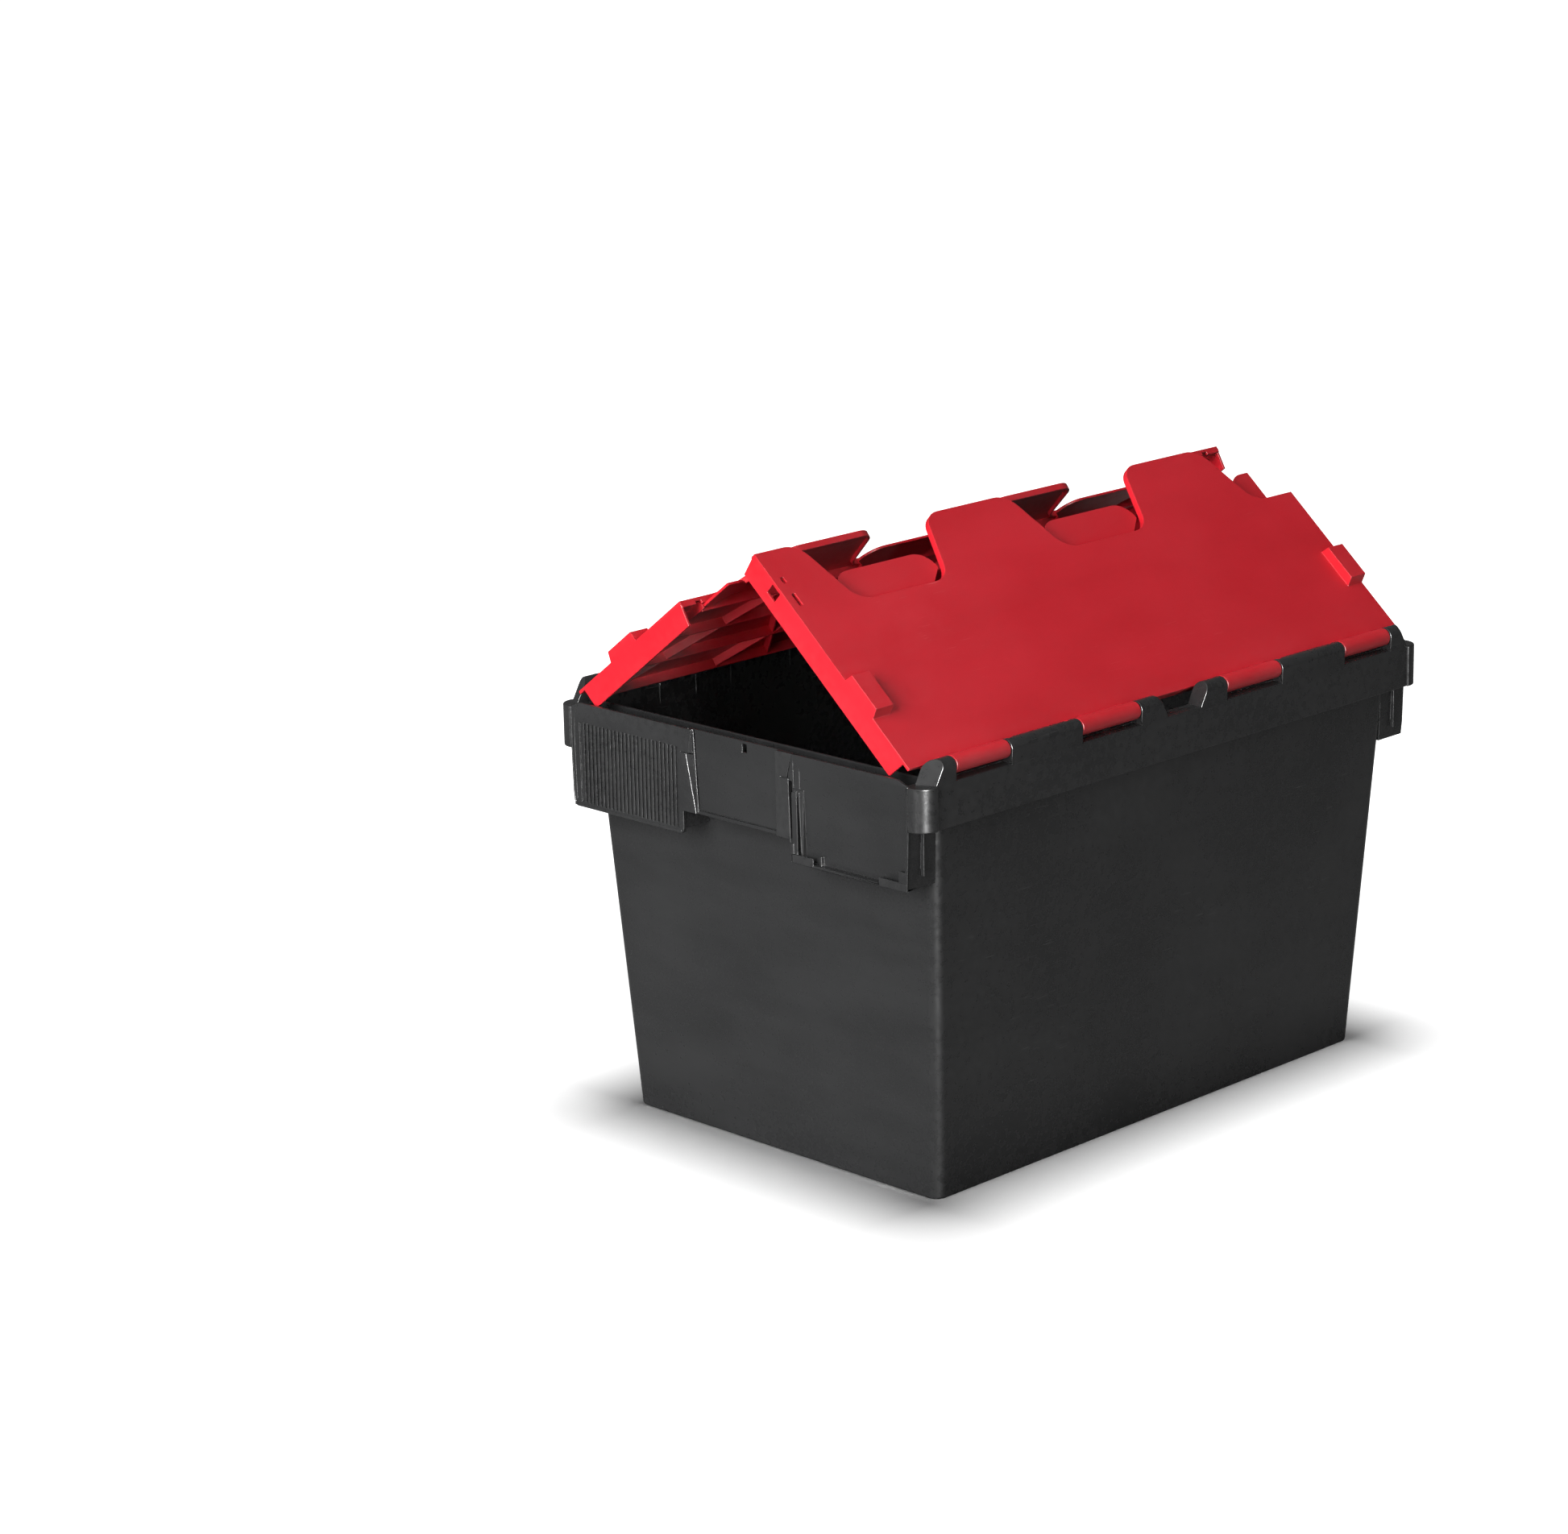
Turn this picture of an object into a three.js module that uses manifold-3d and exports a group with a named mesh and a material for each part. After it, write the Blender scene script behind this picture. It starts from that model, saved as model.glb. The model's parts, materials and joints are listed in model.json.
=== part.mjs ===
// Attached lid tote: a nesting crate moulded in one piece, with two interlocking lids that are
// hinged along its long sides on four steel rods.
//
// Frame: millimetres, +Z up, +X along the length, origin at the centre of the underside.
// The rest pose has both lids half open, leaning towards each other like a tent.
// Each lid is drawn in its own frame: X along its hinge axis, Y from the axis towards the middle of
// the closed tote, Z up when the lid is closed. The back lid is the front one turned half round.

import * as THREE from 'three';
import { mergeVertices } from 'three/addons/utils/BufferGeometryUtils.js';
import Module from 'manifold-3d';

const wasm = await Module();
wasm.setup();

// ---- driving dimensions -------------------------------------------------------------------------

const LENGTH = 600;                 // over the corner posts, along X
const WIDTH = 400;                  // over the corner posts, along Y
const HALF_L = LENGTH / 2;
const HALF_W = WIDTH / 2;

const BASE_HALF_L = 254.5;          // half length and width of the underside
const BASE_HALF_W = 167;
const DRAFT = 0.0613;               // outward lean of every wall, mm per mm of height
const WALL = 2.6;                   // wall thickness of the tub
const FLOOR = 3.6;
const LIP_TOP = 342.2;              // top of the tub wall, on which the closed lids rest
const BODY_CORNER = 10;             // corner radius of the tub body

const BAND_FACE = 198;              // distance of the long rim band's face from the middle
const BAND_BOTTOM = 307;
const BAND_TOP = 341.5;
const POST_TOP = 341.2;
const POST_CORNER = 14;             // corner radius of the posts
const POST_LONG = 17;               // how far a post runs along the long side
const POST_END = 15.1;              // how far a post runs along the end

const PANEL_TOP = 345.5;            // top of the end panels, level with the closed lids
const PANEL_BOTTOM = 262;           // underside of the grip panel and of the card pocket
const PANEL_EDGE = HALF_W - POST_END;
const GRIP_T = 3.4;                 // thickness of the grip panel, before its grooves
const GROOVE_DEPTH = 1.0;
const GROOVE_W = 2.9;
const GRIP_RIBS = 27;
const GRIP_RIB_FIRST = 60.3;
const GRIP_RIB_LAST = 173.6;
const GRIP_RIB_Z = [264.6, 329.4];
const CHANNEL_FLOOR = 320;          // the lids' end skirts drop into a channel above this level

const AXIS_Y = 191;                 // hinge axes: distance from the middle, and height
const AXIS_Z = 352.2;
const TUB_KNUCKLE_R = 7.2;
const LID_KNUCKLE_R = 7.1;
const ROD_R = 2.0;
const LUG_BORE_R = 2.4;
const LID_BORE_R = 2.6;
const ROD_SPAN = [29.6, 273.9];     // |x| of a rod's two ends
const CENTRE_LUG = [20, 51.5];      // |x| ranges along the hinge line
const INNER_LID_KNUCKLE = [52.5, 119.5];
const TUB_KNUCKLE = [120.5, 200.5];
const OUTER_LID_KNUCKLE = [201.5, 260.5];
const END_LUG = [261.5, 281];

const LID_HALF_L = 293;
const PLATE_TOP = -6.4;             // lid frame: height of the plate above the hinge axis
const PLATE_T = 2.8;
const HINGE_EDGE = 8.8;             // lid frame: where the plate starts
const TAB_TIP = 219.6;              // lid frame: reach of the tabs and of the notches
const NOTCH_BACK = 158.5;
const TOOTH_PITCH = 118;            // spacing of the flanks between tabs and notches
const TOOTH_R = 20;                 // radius of a tooth's corners
const FLANK_ANGLE = THREE.MathUtils.degToRad(70);
const FLANK_GAP = 0.9;              // half the gap between the flanks of the two lids
const RIM_T = 2.2;                  // downturned rim along the toothed edge
const RIM_DEPTH = 5.6;
const PAD_TOP = PLATE_TOP - 6.0;    // recessed pads in the notches, under the other lid's tabs
const PAD_T = 2.2;
const PAD_REACH = 190.2;
const PAD_CORNER = 17;              // radius of a pad's far corners
const PAD_GAP = 2.0;                // clear of the flanks beside it
const PAD_ROOT_INSET = 26;          // a pad's root stops this far short of the flanks
const END_PAD_EDGE = 269;
const LIP_CLEARANCE = [271.6, 277.4]; // |x| range where the rim is cut to clear the tub's end lip
const SKIRT_T = 2.4;
const SKIRT_DEPTH = 20.5;
const SKIRT_START = [15.2, 18.4];   // lid frame: the skirt's slanted hinge end, top and bottom
const SKIRT_SLANT = 3;              // the skirt's bottom stops this far short of its far end
const RIB_T = 1.8;
const RIB_DEPTH = 8.0;              // the rows and diagonals are a little shallower than the frame
const RIB_FRAME_X = 270;
const RIB_FRAME_Y = 12;
const RIB_ROWS = [59, 106, 152];
const BLOCK_Y = [56.5, 95.5];       // lid frame: stacking blocks beside the end skirts
const BLOCK_TOP_Y = [60, 93];
const BLOCK_W = 19;
const BLOCK_H = 8.4;

const FRONT_LID_ANGLE = 41.4;       // opening of each lid in the rest pose, degrees
const BACK_LID_ANGLE = 37.5;

// ---- solids -------------------------------------------------------------------------------------

function toSolid(geometry) {
  const bare = geometry.index ? geometry.toNonIndexed() : geometry.clone();
  bare.deleteAttribute('normal');
  bare.deleteAttribute('uv');
  const merged = mergeVertices(bare, 1e-4);
  return new wasm.Manifold(new wasm.Mesh({
    numProp: 3,
    vertProperties: new Float32Array(merged.attributes.position.array),
    triVerts: new Uint32Array(merged.index.array),
  }));
}

function toGeometry(solid) {
  const mesh = solid.getMesh();
  const geometry = new THREE.BufferGeometry();
  geometry.setAttribute('position', new THREE.BufferAttribute(mesh.vertProperties, 3));
  geometry.setIndex(new THREE.BufferAttribute(mesh.triVerts, 1));
  return geometry;
}

const sorted = (a, b) => (a < b ? [a, b] : [b, a]);

// A box from its ranges along X, Y and Z.
function box(xs, ys, zs) {
  const [x0, x1] = sorted(...xs);
  const [y0, y1] = sorted(...ys);
  const [z0, z1] = sorted(...zs);
  const geometry = new THREE.BoxGeometry(x1 - x0, y1 - y0, z1 - z0);
  geometry.translate((x0 + x1) / 2, (y0 + y1) / 2, (z0 + z1) / 2);
  return toSolid(geometry);
}

function extrude(shape, depth, curveSegments) {
  return new THREE.ExtrudeGeometry(shape, { depth, curveSegments, bevelEnabled: false });
}

// A plan shape raised from z0 to z1.
function upright(shape, z0, z1, curveSegments = 6) {
  const geometry = extrude(shape, z1 - z0, curveSegments);
  geometry.translate(0, 0, z0);
  return toSolid(geometry);
}

// A section drawn in (Y, Z), run along X.
const TO_X = new THREE.Matrix4().makeBasis(
  new THREE.Vector3(0, 1, 0), new THREE.Vector3(0, 0, 1), new THREE.Vector3(1, 0, 0));

function alongX(shape, x0, x1, curveSegments = 8) {
  const [from, to] = sorted(x0, x1);
  const geometry = extrude(shape, to - from, curveSegments);
  geometry.applyMatrix4(TO_X);
  geometry.translate(from, 0, 0);
  return toSolid(geometry);
}

// A section drawn in (X, Z), run along Y.
const TO_Y = new THREE.Matrix4().makeBasis(
  new THREE.Vector3(1, 0, 0), new THREE.Vector3(0, 0, 1), new THREE.Vector3(0, -1, 0));

function alongY(shape, y0, y1, curveSegments = 8) {
  const [from, to] = sorted(y0, y1);
  const geometry = extrude(shape, to - from, curveSegments);
  geometry.applyMatrix4(TO_Y);
  geometry.translate(0, to, 0);
  return toSolid(geometry);
}

function polygon(points) {
  return new THREE.Shape(points.map(([u, v]) => new THREE.Vector2(u, v)));
}

function roundedRectangle(halfX, halfY, radius) {
  const shape = new THREE.Shape();
  shape.moveTo(-halfX + radius, -halfY);
  shape.absarc(halfX - radius, -halfY + radius, radius, -Math.PI / 2, 0, false);
  shape.absarc(halfX - radius, halfY - radius, radius, 0, Math.PI / 2, false);
  shape.absarc(-halfX + radius, halfY - radius, radius, Math.PI / 2, Math.PI, false);
  shape.absarc(-halfX + radius, -halfY + radius, radius, Math.PI, 1.5 * Math.PI, false);
  return shape;
}

// A block with rounded corners whose four walls lean outwards by DRAFT.
function draftedBlock(baseHalfX, baseHalfY, radius, z0, z1) {
  const shape = roundedRectangle(baseHalfX + DRAFT * z0, baseHalfY + DRAFT * z0, radius);
  const geometry = extrude(shape, z1 - z0, 6);
  const spread = DRAFT * (z1 - z0);
  const position = geometry.attributes.position;
  for (let i = 0; i < position.count; i += 1) {
    if (position.getZ(i) > (z1 - z0) / 2) {
      position.setX(i, position.getX(i) + Math.sign(position.getX(i)) * spread);
      position.setY(i, position.getY(i) + Math.sign(position.getY(i)) * spread);
    }
  }
  geometry.translate(0, 0, z0);
  return toSolid(geometry);
}

function rodAlongX(radius, x0, x1, y = 0, z = 0, segments = 24) {
  const [from, to] = sorted(x0, x1);
  const geometry = new THREE.CylinderGeometry(radius, radius, to - from, segments);
  geometry.rotateZ(Math.PI / 2);
  geometry.translate((from + to) / 2, y, z);
  return toSolid(geometry);
}

const CLEAN = 0.01;                 // edges shorter than this are merged away after the booleans

const joined = (solids) => solids.reduce((whole, piece) => whole.add(piece));
const cutAway = (solid, tools) => tools.reduce((rest, tool) => rest.subtract(tool), solid);
const halfTurn = (solid) => solid.rotate([0, 0, 180]);
const sides = [-1, 1];

// ---- tub ----------------------------------------------------------------------------------------

const bodyHalfL = (z) => BASE_HALF_L + DRAFT * z;
const bodyHalfW = (z) => BASE_HALF_W + DRAFT * z;

// The room inside the tub, up to a level.
function tubInside(top, wall = WALL) {
  return draftedBlock(BASE_HALF_L - wall, BASE_HALF_W - wall, BODY_CORNER - wall, FLOOR, top);
}

function tubShell() {
  const outside = draftedBlock(BASE_HALF_L, BASE_HALF_W, BODY_CORNER, 0, LIP_TOP);
  return outside.subtract(tubInside(LIP_TOP + 5));
}

// The underside is relieved inside a flat foot ring, with a grid of ribs left in the relief.
function undersideRelief() {
  const ring = 16;
  const depth = 1.3;
  const ribHalf = 2.5;
  const halfX = BASE_HALF_L - ring;
  const halfY = BASE_HALF_W - ring;
  const relief = upright(roundedRectangle(halfX, halfY, BODY_CORNER), -1, depth);
  const acrossX = [-0.5, 0, 0.5].map((part) =>
    box([part * halfX - ribHalf, part * halfX + ribHalf], [-halfY - 2, halfY + 2], [-2, depth + 1]));
  const acrossY = [-1 / 3, 1 / 3].map((part) =>
    box([-halfX - 2, halfX + 2], [part * halfY - ribHalf, part * halfY + ribHalf], [-2, depth + 1]));
  return cutAway(relief, [...acrossX, ...acrossY]);
}

// Rim band of the -Y long side: a skin, a top flange back to the wall, and ribs behind the skin.
function longBand() {
  const halfRun = HALF_L - POST_LONG + 2;
  const wallY = bodyHalfW(BAND_BOTTOM) - 1.6;
  const skin = box([-halfRun, halfRun], [-BAND_FACE, -BAND_FACE + WALL], [BAND_BOTTOM + 0.2, BAND_TOP]);
  const flange = box([-halfRun, halfRun], [-BAND_FACE, -wallY], [BAND_TOP - WALL, BAND_TOP]);
  const ribXs = [CENTRE_LUG[0] + 1, CENTRE_LUG[1], TUB_KNUCKLE[0], 160, TUB_KNUCKLE[1], END_LUG[0]];
  const ribs = ribXs.flatMap((x) => sides.map((side) =>
    box([side * x - 0.9, side * x + 0.9], [-BAND_FACE + 1, -wallY],
      [BAND_BOTTOM + 3, BAND_TOP - 1])));
  return joined([skin, flange, ...ribs]);
}

// A stretch of the hinge on the -Y side: round over the axis, with straight legs to the rim.
function hingeBarrel(x0, x1) {
  const section = new THREE.Shape();
  section.moveTo(-AXIS_Y - TUB_KNUCKLE_R, BAND_TOP - 1);
  section.lineTo(-AXIS_Y + TUB_KNUCKLE_R, BAND_TOP - 1);
  section.absarc(-AXIS_Y, AXIS_Z, TUB_KNUCKLE_R, 0, Math.PI, false);
  return alongX(section, x0, x1, 12);
}

// Lugs lean in towards the hinge line: one end is cut by a sloping plane.
function slopedLug(x0, x1, slopingEnd, slope) {
  const top = AXIS_Z + TUB_KNUCKLE_R + 1;
  const into = Math.sign(slope) * -20;
  const wedge = polygon([
    [slopingEnd, BAND_TOP], [slopingEnd + slope, top],
    [slopingEnd + into, top], [slopingEnd + into, BAND_TOP],
  ]);
  const block = hingeBarrel(x0, x1);
  return block.subtract(alongY(wedge, -AXIS_Y - 20, -AXIS_Y + 20));
}

function hingeLine() {
  const pieces = [];
  const bores = [];
  const windows = [];
  for (const side of sides) {
    pieces.push(slopedLug(side * CENTRE_LUG[0], side * CENTRE_LUG[1], side * CENTRE_LUG[0], side * 10));
    pieces.push(slopedLug(side * END_LUG[0], side * END_LUG[1], side * END_LUG[1], side * -6.5));
    pieces.push(hingeBarrel(side * TUB_KNUCKLE[0], side * TUB_KNUCKLE[1]));
    bores.push(rodAlongX(LUG_BORE_R, side * (ROD_SPAN[0] - 0.5), side * (ROD_SPAN[1] + 0.5),
      -AXIS_Y, AXIS_Z, 14));
    for (const end of [TUB_KNUCKLE[0] + 4, TUB_KNUCKLE[1] - 11]) {
      windows.push(box([side * end, side * (end + 7)], [-AXIS_Y, -AXIS_Y + 5],
        [AXIS_Z + 4.2, AXIS_Z + 20]));
    }
  }
  return { pieces, bores, windows };
}

// Corner post at -X -Y: a hollow cap round the corner, open underneath.
function cornerPost() {
  const centre = [-HALF_L + POST_CORNER, -HALF_W + POST_CORNER];
  const outline = (inset, reachX, reachY) => {
    const shape = new THREE.Shape();
    shape.moveTo(-HALF_L + inset, reachY);
    shape.absarc(...centre, POST_CORNER - inset, Math.PI, 1.5 * Math.PI, false);
    shape.lineTo(reachX, -HALF_W + inset);
    shape.lineTo(reachX, reachY);
    return shape;
  };
  const innerEnd = -HALF_L + POST_LONG;
  const cap = upright(outline(0, innerEnd, -PANEL_EDGE + 0.9), BAND_BOTTOM, POST_TOP, 8);
  const hollow = upright(outline(WALL, innerEnd - WALL, -PANEL_EDGE - 0.1), BAND_BOTTOM - 1,
    POST_TOP - WALL, 8);
  const bridge = box([innerEnd - 1, -271], [-188, -PANEL_EDGE + 0.9], [POST_TOP - WALL, POST_TOP]);
  return cap.subtract(hollow).add(bridge);
}

// ---- end wall at -X -----------------------------------------------------------------------------

const END_FACE = -HALF_L;
const wallX = -bodyHalfL(PANEL_BOTTOM) + 2;  // webs and returns run into the tub wall
const GRIP_EDGE_TOP = 51;                   // the grip panel's slanted inner edge
const GRIP_EDGE_BOTTOM = 41.5;
const STEP_Y = 53;                          // below it the panel steps up
const STEP_Z = 280.5;
const CENTRE_RECESS = 3.8;
const CENTRE_T = 2.3;
const CENTRE_BOTTOM = 282;
const STRIP_Y = [-60.5, -46];               // raised strip between the centre and the card pocket
const STRIP_BOTTOM = 280.6;
const POCKET_Y = [-PANEL_EDGE, -64];
const POCKET_LEAN = [0.6, 6.4];             // recess of the card pocket at its top and bottom
const POCKET_T = 2.4;

function gripPanel() {
  const outline = polygon([
    [PANEL_EDGE, PANEL_BOTTOM], [PANEL_EDGE, PANEL_TOP], [GRIP_EDGE_TOP - 3, PANEL_TOP],
    [GRIP_EDGE_TOP - 3, 327], [GRIP_EDGE_TOP, 325], [GRIP_EDGE_BOTTOM, STEP_Z],
    [STEP_Y, STEP_Z - 1], [STEP_Y + 2, PANEL_BOTTOM],
  ]);
  const panel = alongX(outline, END_FACE, END_FACE + GRIP_T);
  const pitch = (GRIP_RIB_LAST - GRIP_RIB_FIRST) / (GRIP_RIBS - 1);
  const grooves = [];
  for (let i = 0; i < GRIP_RIBS - 1; i += 1) {
    const y = GRIP_RIB_FIRST + (i + 0.5) * pitch;
    const half = GROOVE_W / 2;
    const section = polygon([
      [END_FACE - 1, y - half - 0.35], [END_FACE + GROOVE_DEPTH, y - half + 0.35],
      [END_FACE + GROOVE_DEPTH, y + half - 0.35], [END_FACE - 1, y + half + 0.35],
    ]);
    grooves.push(upright(section, ...GRIP_RIB_Z));
  }
  const lip = box([END_FACE, END_FACE + 6], [STEP_Y + 3, PANEL_EDGE],
    [PANEL_BOTTOM - 0.8, PANEL_BOTTOM + 1.6]);
  return cutAway(panel, grooves).add(lip);
}

function centrePanel() {
  const face = END_FACE + CENTRE_RECESS;
  const panel = box([face, face + CENTRE_T], [STRIP_Y[1] - 1, GRIP_EDGE_TOP], [CENTRE_BOTTOM, PANEL_TOP]);
  const returnWall = box([END_FACE + 1, face + CENTRE_T], [GRIP_EDGE_BOTTOM - 0.5, GRIP_EDGE_TOP - 4],
    [CENTRE_BOTTOM - 1, PANEL_TOP]);
  const ledge = box([END_FACE + 1.6, face + 2], [STRIP_Y[1], GRIP_EDGE_TOP],
    [CENTRE_BOTTOM - 2.2, CENTRE_BOTTOM - 0.1 + 0.6]);
  const sealSlot = box([face - 2, face + CENTRE_T + 2], [-12.5, -7.5], [336.4, 343.4]);
  return joined([panel, returnWall, ledge]).subtract(sealSlot);
}

function pocketFace(z) {
  const part = (PANEL_TOP - z) / (PANEL_TOP - PANEL_BOTTOM);
  return END_FACE + POCKET_LEAN[0] + part * (POCKET_LEAN[1] - POCKET_LEAN[0]);
}

function cardPocket() {
  const low = PANEL_BOTTOM - 3;
  const panel = alongY(polygon([
    [pocketFace(low), low], [pocketFace(low) + POCKET_T, low],
    [pocketFace(PANEL_TOP) + POCKET_T, PANEL_TOP], [pocketFace(PANEL_TOP), PANEL_TOP],
  ]), ...POCKET_Y);
  const strip = box([END_FACE, END_FACE + 5.4], STRIP_Y, [STRIP_BOTTOM, PANEL_TOP]);
  const guides = [
    box([END_FACE + 0.9, END_FACE + 5], [-64.4, -60], [low + 0.6, 343.6]),
    box([END_FACE + 0.3, END_FACE + 4.6], [-70.6, -68.6], [316, PANEL_TOP - 0.2]),
    box([END_FACE + 1.6, END_FACE + 7], [-70.2, -64], [low + 0.8, 317]),
    box([END_FACE + 0.4, END_FACE + 7.2], [-74.6, -72.4], [low + 1.2, 318.6]),
  ];
  const ledge = box([END_FACE, END_FACE + 9.6], [-PANEL_EDGE, -62.5], [low - 0.4, low + 2]);
  const frame = box([END_FACE + 0.1, END_FACE + 7.4], [-PANEL_EDGE + 0.1, -PANEL_EDGE + 2.2],
    [low + 0.4, 309]);
  const clip = 1.8;
  const clips = [
    box([END_FACE + 0.05, END_FACE + clip], [-85, -62.6], [low + 0.2, 267.4]),
    box([END_FACE + 0.15, END_FACE + clip + 0.1], [-66, -62.8], [low + 0.3, 275.6]),
    box([END_FACE + 0.05, END_FACE + clip], [-PANEL_EDGE + 0.05, -154], [low + 0.2, 266.8]),
    box([END_FACE + 0.15, END_FACE + clip + 0.1], [-PANEL_EDGE + 0.15, -174], [low + 0.3, 275.6]),
    box([END_FACE + 3, END_FACE + 7], [-92.3, -89.6], [low + 0.5, 268.6]),
  ];
  return joined([panel, strip, ledge, frame, ...guides, ...clips]);
}

// Side returns, webs and the channel floor, which tie the end panels to the tub wall.
function endWebs() {
  const web = 2.2;
  const channelFloor = [
    box([END_FACE + 2, wallX], [GRIP_EDGE_TOP - 2, PANEL_EDGE], [CHANNEL_FLOOR - WALL, CHANNEL_FLOOR]),
    box([END_FACE + 4.4, wallX], [-PANEL_EDGE, GRIP_EDGE_TOP],
      [CHANNEL_FLOOR - WALL - 0.1, CHANNEL_FLOOR - 0.1]),
  ];
  const returns = sides.flatMap((side) => [
    box([END_FACE + 1, wallX], [side * (PANEL_EDGE - 0.2), side * (PANEL_EDGE - 2.6)],
      [PANEL_BOTTOM + 0.2, POST_TOP - 1]),
    box([END_FACE + 17.8, END_FACE + 19.4], [side * (PANEL_EDGE - 1), side * (PANEL_EDGE + 1.2)],
      [PANEL_BOTTOM + 8, BAND_BOTTOM + 1]),
    box([END_FACE + 1.2, wallX], [side * (PANEL_EDGE - 0.4), side * (PANEL_EDGE - 6)],
      [POST_TOP - WALL - 0.2, POST_TOP - 0.2]),
  ]);
  const webs = [
    box([END_FACE + 1, wallX], [STEP_Y + 0.5, STEP_Y + 0.5 + web], [PANEL_BOTTOM + 2, CHANNEL_FLOOR - 1]),
    box([END_FACE + CENTRE_RECESS + 1, wallX], [-web / 2, web / 2], [CENTRE_BOTTOM + 2, CHANNEL_FLOOR - 1]),
    box([END_FACE + 4, wallX], [-64 - web, -64], [PANEL_BOTTOM, CHANNEL_FLOOR - 1]),
  ];
  return joined([...channelFloor, ...returns, ...webs]);
}

// The end panel's top slopes down to the post at each corner.
function cornerSlopes() {
  return sides.map((side) => alongX(polygon([
    [side * (PANEL_EDGE + 1), POST_TOP], [side * (PANEL_EDGE - 1), POST_TOP],
    [side * (PANEL_EDGE - 12), PANEL_TOP + 0.1], [side * (PANEL_EDGE + 1), PANEL_TOP + 0.1],
  ]), END_FACE - 1, END_FACE + 10));
}

function makeTub() {
  const endWall = cutAway(joined([gripPanel(), centrePanel(), cardPocket(), endWebs()]), cornerSlopes());
  const { pieces, bores, windows } = hingeLine();
  const longSide = cutAway(joined([longBand(), ...pieces]), [...bores, ...windows]);
  const postAtMinusXMinusY = cornerPost();
  const postAtMinusXPlusY = postAtMinusXMinusY.mirror([0, 1, 0]);
  const half = joined([endWall, longSide, postAtMinusXMinusY, postAtMinusXPlusY])
    .subtract(tubInside(LIP_TOP, WALL * 0.7));
  return joined([tubShell(), half, halfTurn(half)]).subtract(undersideRelief()).simplify(CLEAN);
}

// ---- lid ----------------------------------------------------------------------------------------

// Toothed outline of the lid in its own frame, offset inwards by inset. From -X to +X it runs
// tab, notch, tab, notch, tab, notch, so that a lid and its half-turned twin interlock.
function lidOutline(inset = 0, hingeEdge = HINGE_EDGE) {
  const lean = Math.PI / 2 - FLANK_ANGLE;
  const straight = (TAB_TIP - NOTCH_BACK - 2 * TOOTH_R * (1 - Math.cos(FLANK_ANGLE)))
    / Math.tan(FLANK_ANGLE);
  const cornerX = straight / 2 + TOOTH_R * Math.sin(FLANK_ANGLE);
  const convex = TOOTH_R - inset;
  const concave = TOOTH_R + inset;
  const tipY = TAB_TIP - TOOTH_R;
  const backY = NOTCH_BACK + TOOTH_R;
  const shape = new THREE.Shape();
  shape.moveTo(-LID_HALF_L + inset, hingeEdge);
  shape.lineTo(LID_HALF_L - inset, hingeEdge);
  shape.lineTo(LID_HALF_L - inset, NOTCH_BACK - inset);
  for (let flank = 2; flank >= -2; flank -= 1) {
    const centre = flank * TOOTH_PITCH;
    if (flank % 2 === 0) {
      // Walking towards -X: up the right-hand flank of a tab.
      const x = centre - FLANK_GAP;
      shape.absarc(x + cornerX, backY, concave, 1.5 * Math.PI, Math.PI + lean, true);
      shape.absarc(x - cornerX, tipY, convex, lean, Math.PI / 2, false);
    } else {
      // Walking towards -X: down the left-hand flank of a tab.
      const x = centre + FLANK_GAP;
      shape.absarc(x + cornerX, tipY, convex, Math.PI / 2, Math.PI - lean, false);
      shape.absarc(x - cornerX, backY, concave, -lean, -Math.PI / 2, true);
    }
  }
  shape.lineTo(-LID_HALF_L + inset, TAB_TIP - inset);
  return shape;
}

const TOOTH_SEGMENTS = 6;
const TEETH_START = 150;            // lid frame: the downturned rim runs from here to the teeth
const PLATE_BOTTOM = PLATE_TOP - PLATE_T;
const RIM_BOTTOM = PLATE_TOP - RIM_DEPTH;

// The outline's plan, raised between two levels.
function toothedBlock(inset, z0, z1, hingeEdge) {
  return upright(lidOutline(inset, hingeEdge), z0, z1, TOOTH_SEGMENTS);
}

// Flanks at the two sides of each notch; the last notch runs out at the end pad's edge.
const NOTCHES = [[-2 * TOOTH_PITCH, -TOOTH_PITCH], [0, TOOTH_PITCH], [2 * TOOTH_PITCH, END_PAD_EDGE]];

// Recessed pad of one notch: a tongue with rounded far corners, and the wall it hangs from.
function notchPad([x0, x1]) {
  const open = x1 === END_PAD_EDGE;
  const nearY = NOTCH_BACK - 1;
  const low = PAD_TOP - PAD_T;
  const plan = new THREE.Shape();
  plan.moveTo(x0, nearY);
  plan.lineTo(x1, nearY);
  if (open) {
    plan.lineTo(x1, PAD_REACH);
  } else {
    plan.absarc(x1 - PAD_CORNER, PAD_REACH - PAD_CORNER, PAD_CORNER, 0, Math.PI / 2, false);
  }
  plan.absarc(x0 + PAD_CORNER, PAD_REACH - PAD_CORNER, PAD_CORNER, Math.PI / 2, Math.PI, false);
  const tongue = upright(plan, low, PAD_TOP, TOOTH_SEGMENTS)
    .subtract(toothedBlock(-PAD_GAP, low - 1, PAD_TOP + 1, TEETH_START));
  const rootXs = [x0 + (open ? PAD_ROOT_INSET / 2 : PAD_ROOT_INSET), open ? x1 - 0.2 : x1 - PAD_ROOT_INSET];
  const behind = NOTCH_BACK - RIM_T - 0.3;
  const root = box(rootXs, [behind, NOTCH_BACK + PAD_GAP + 2], [low + 0.1, PAD_TOP - 0.1]);
  const wall = box(rootXs, [behind, NOTCH_BACK - 0.15], [low + 0.1, PLATE_BOTTOM + 0.4]);
  return joined([tongue, root, wall]);
}

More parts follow.
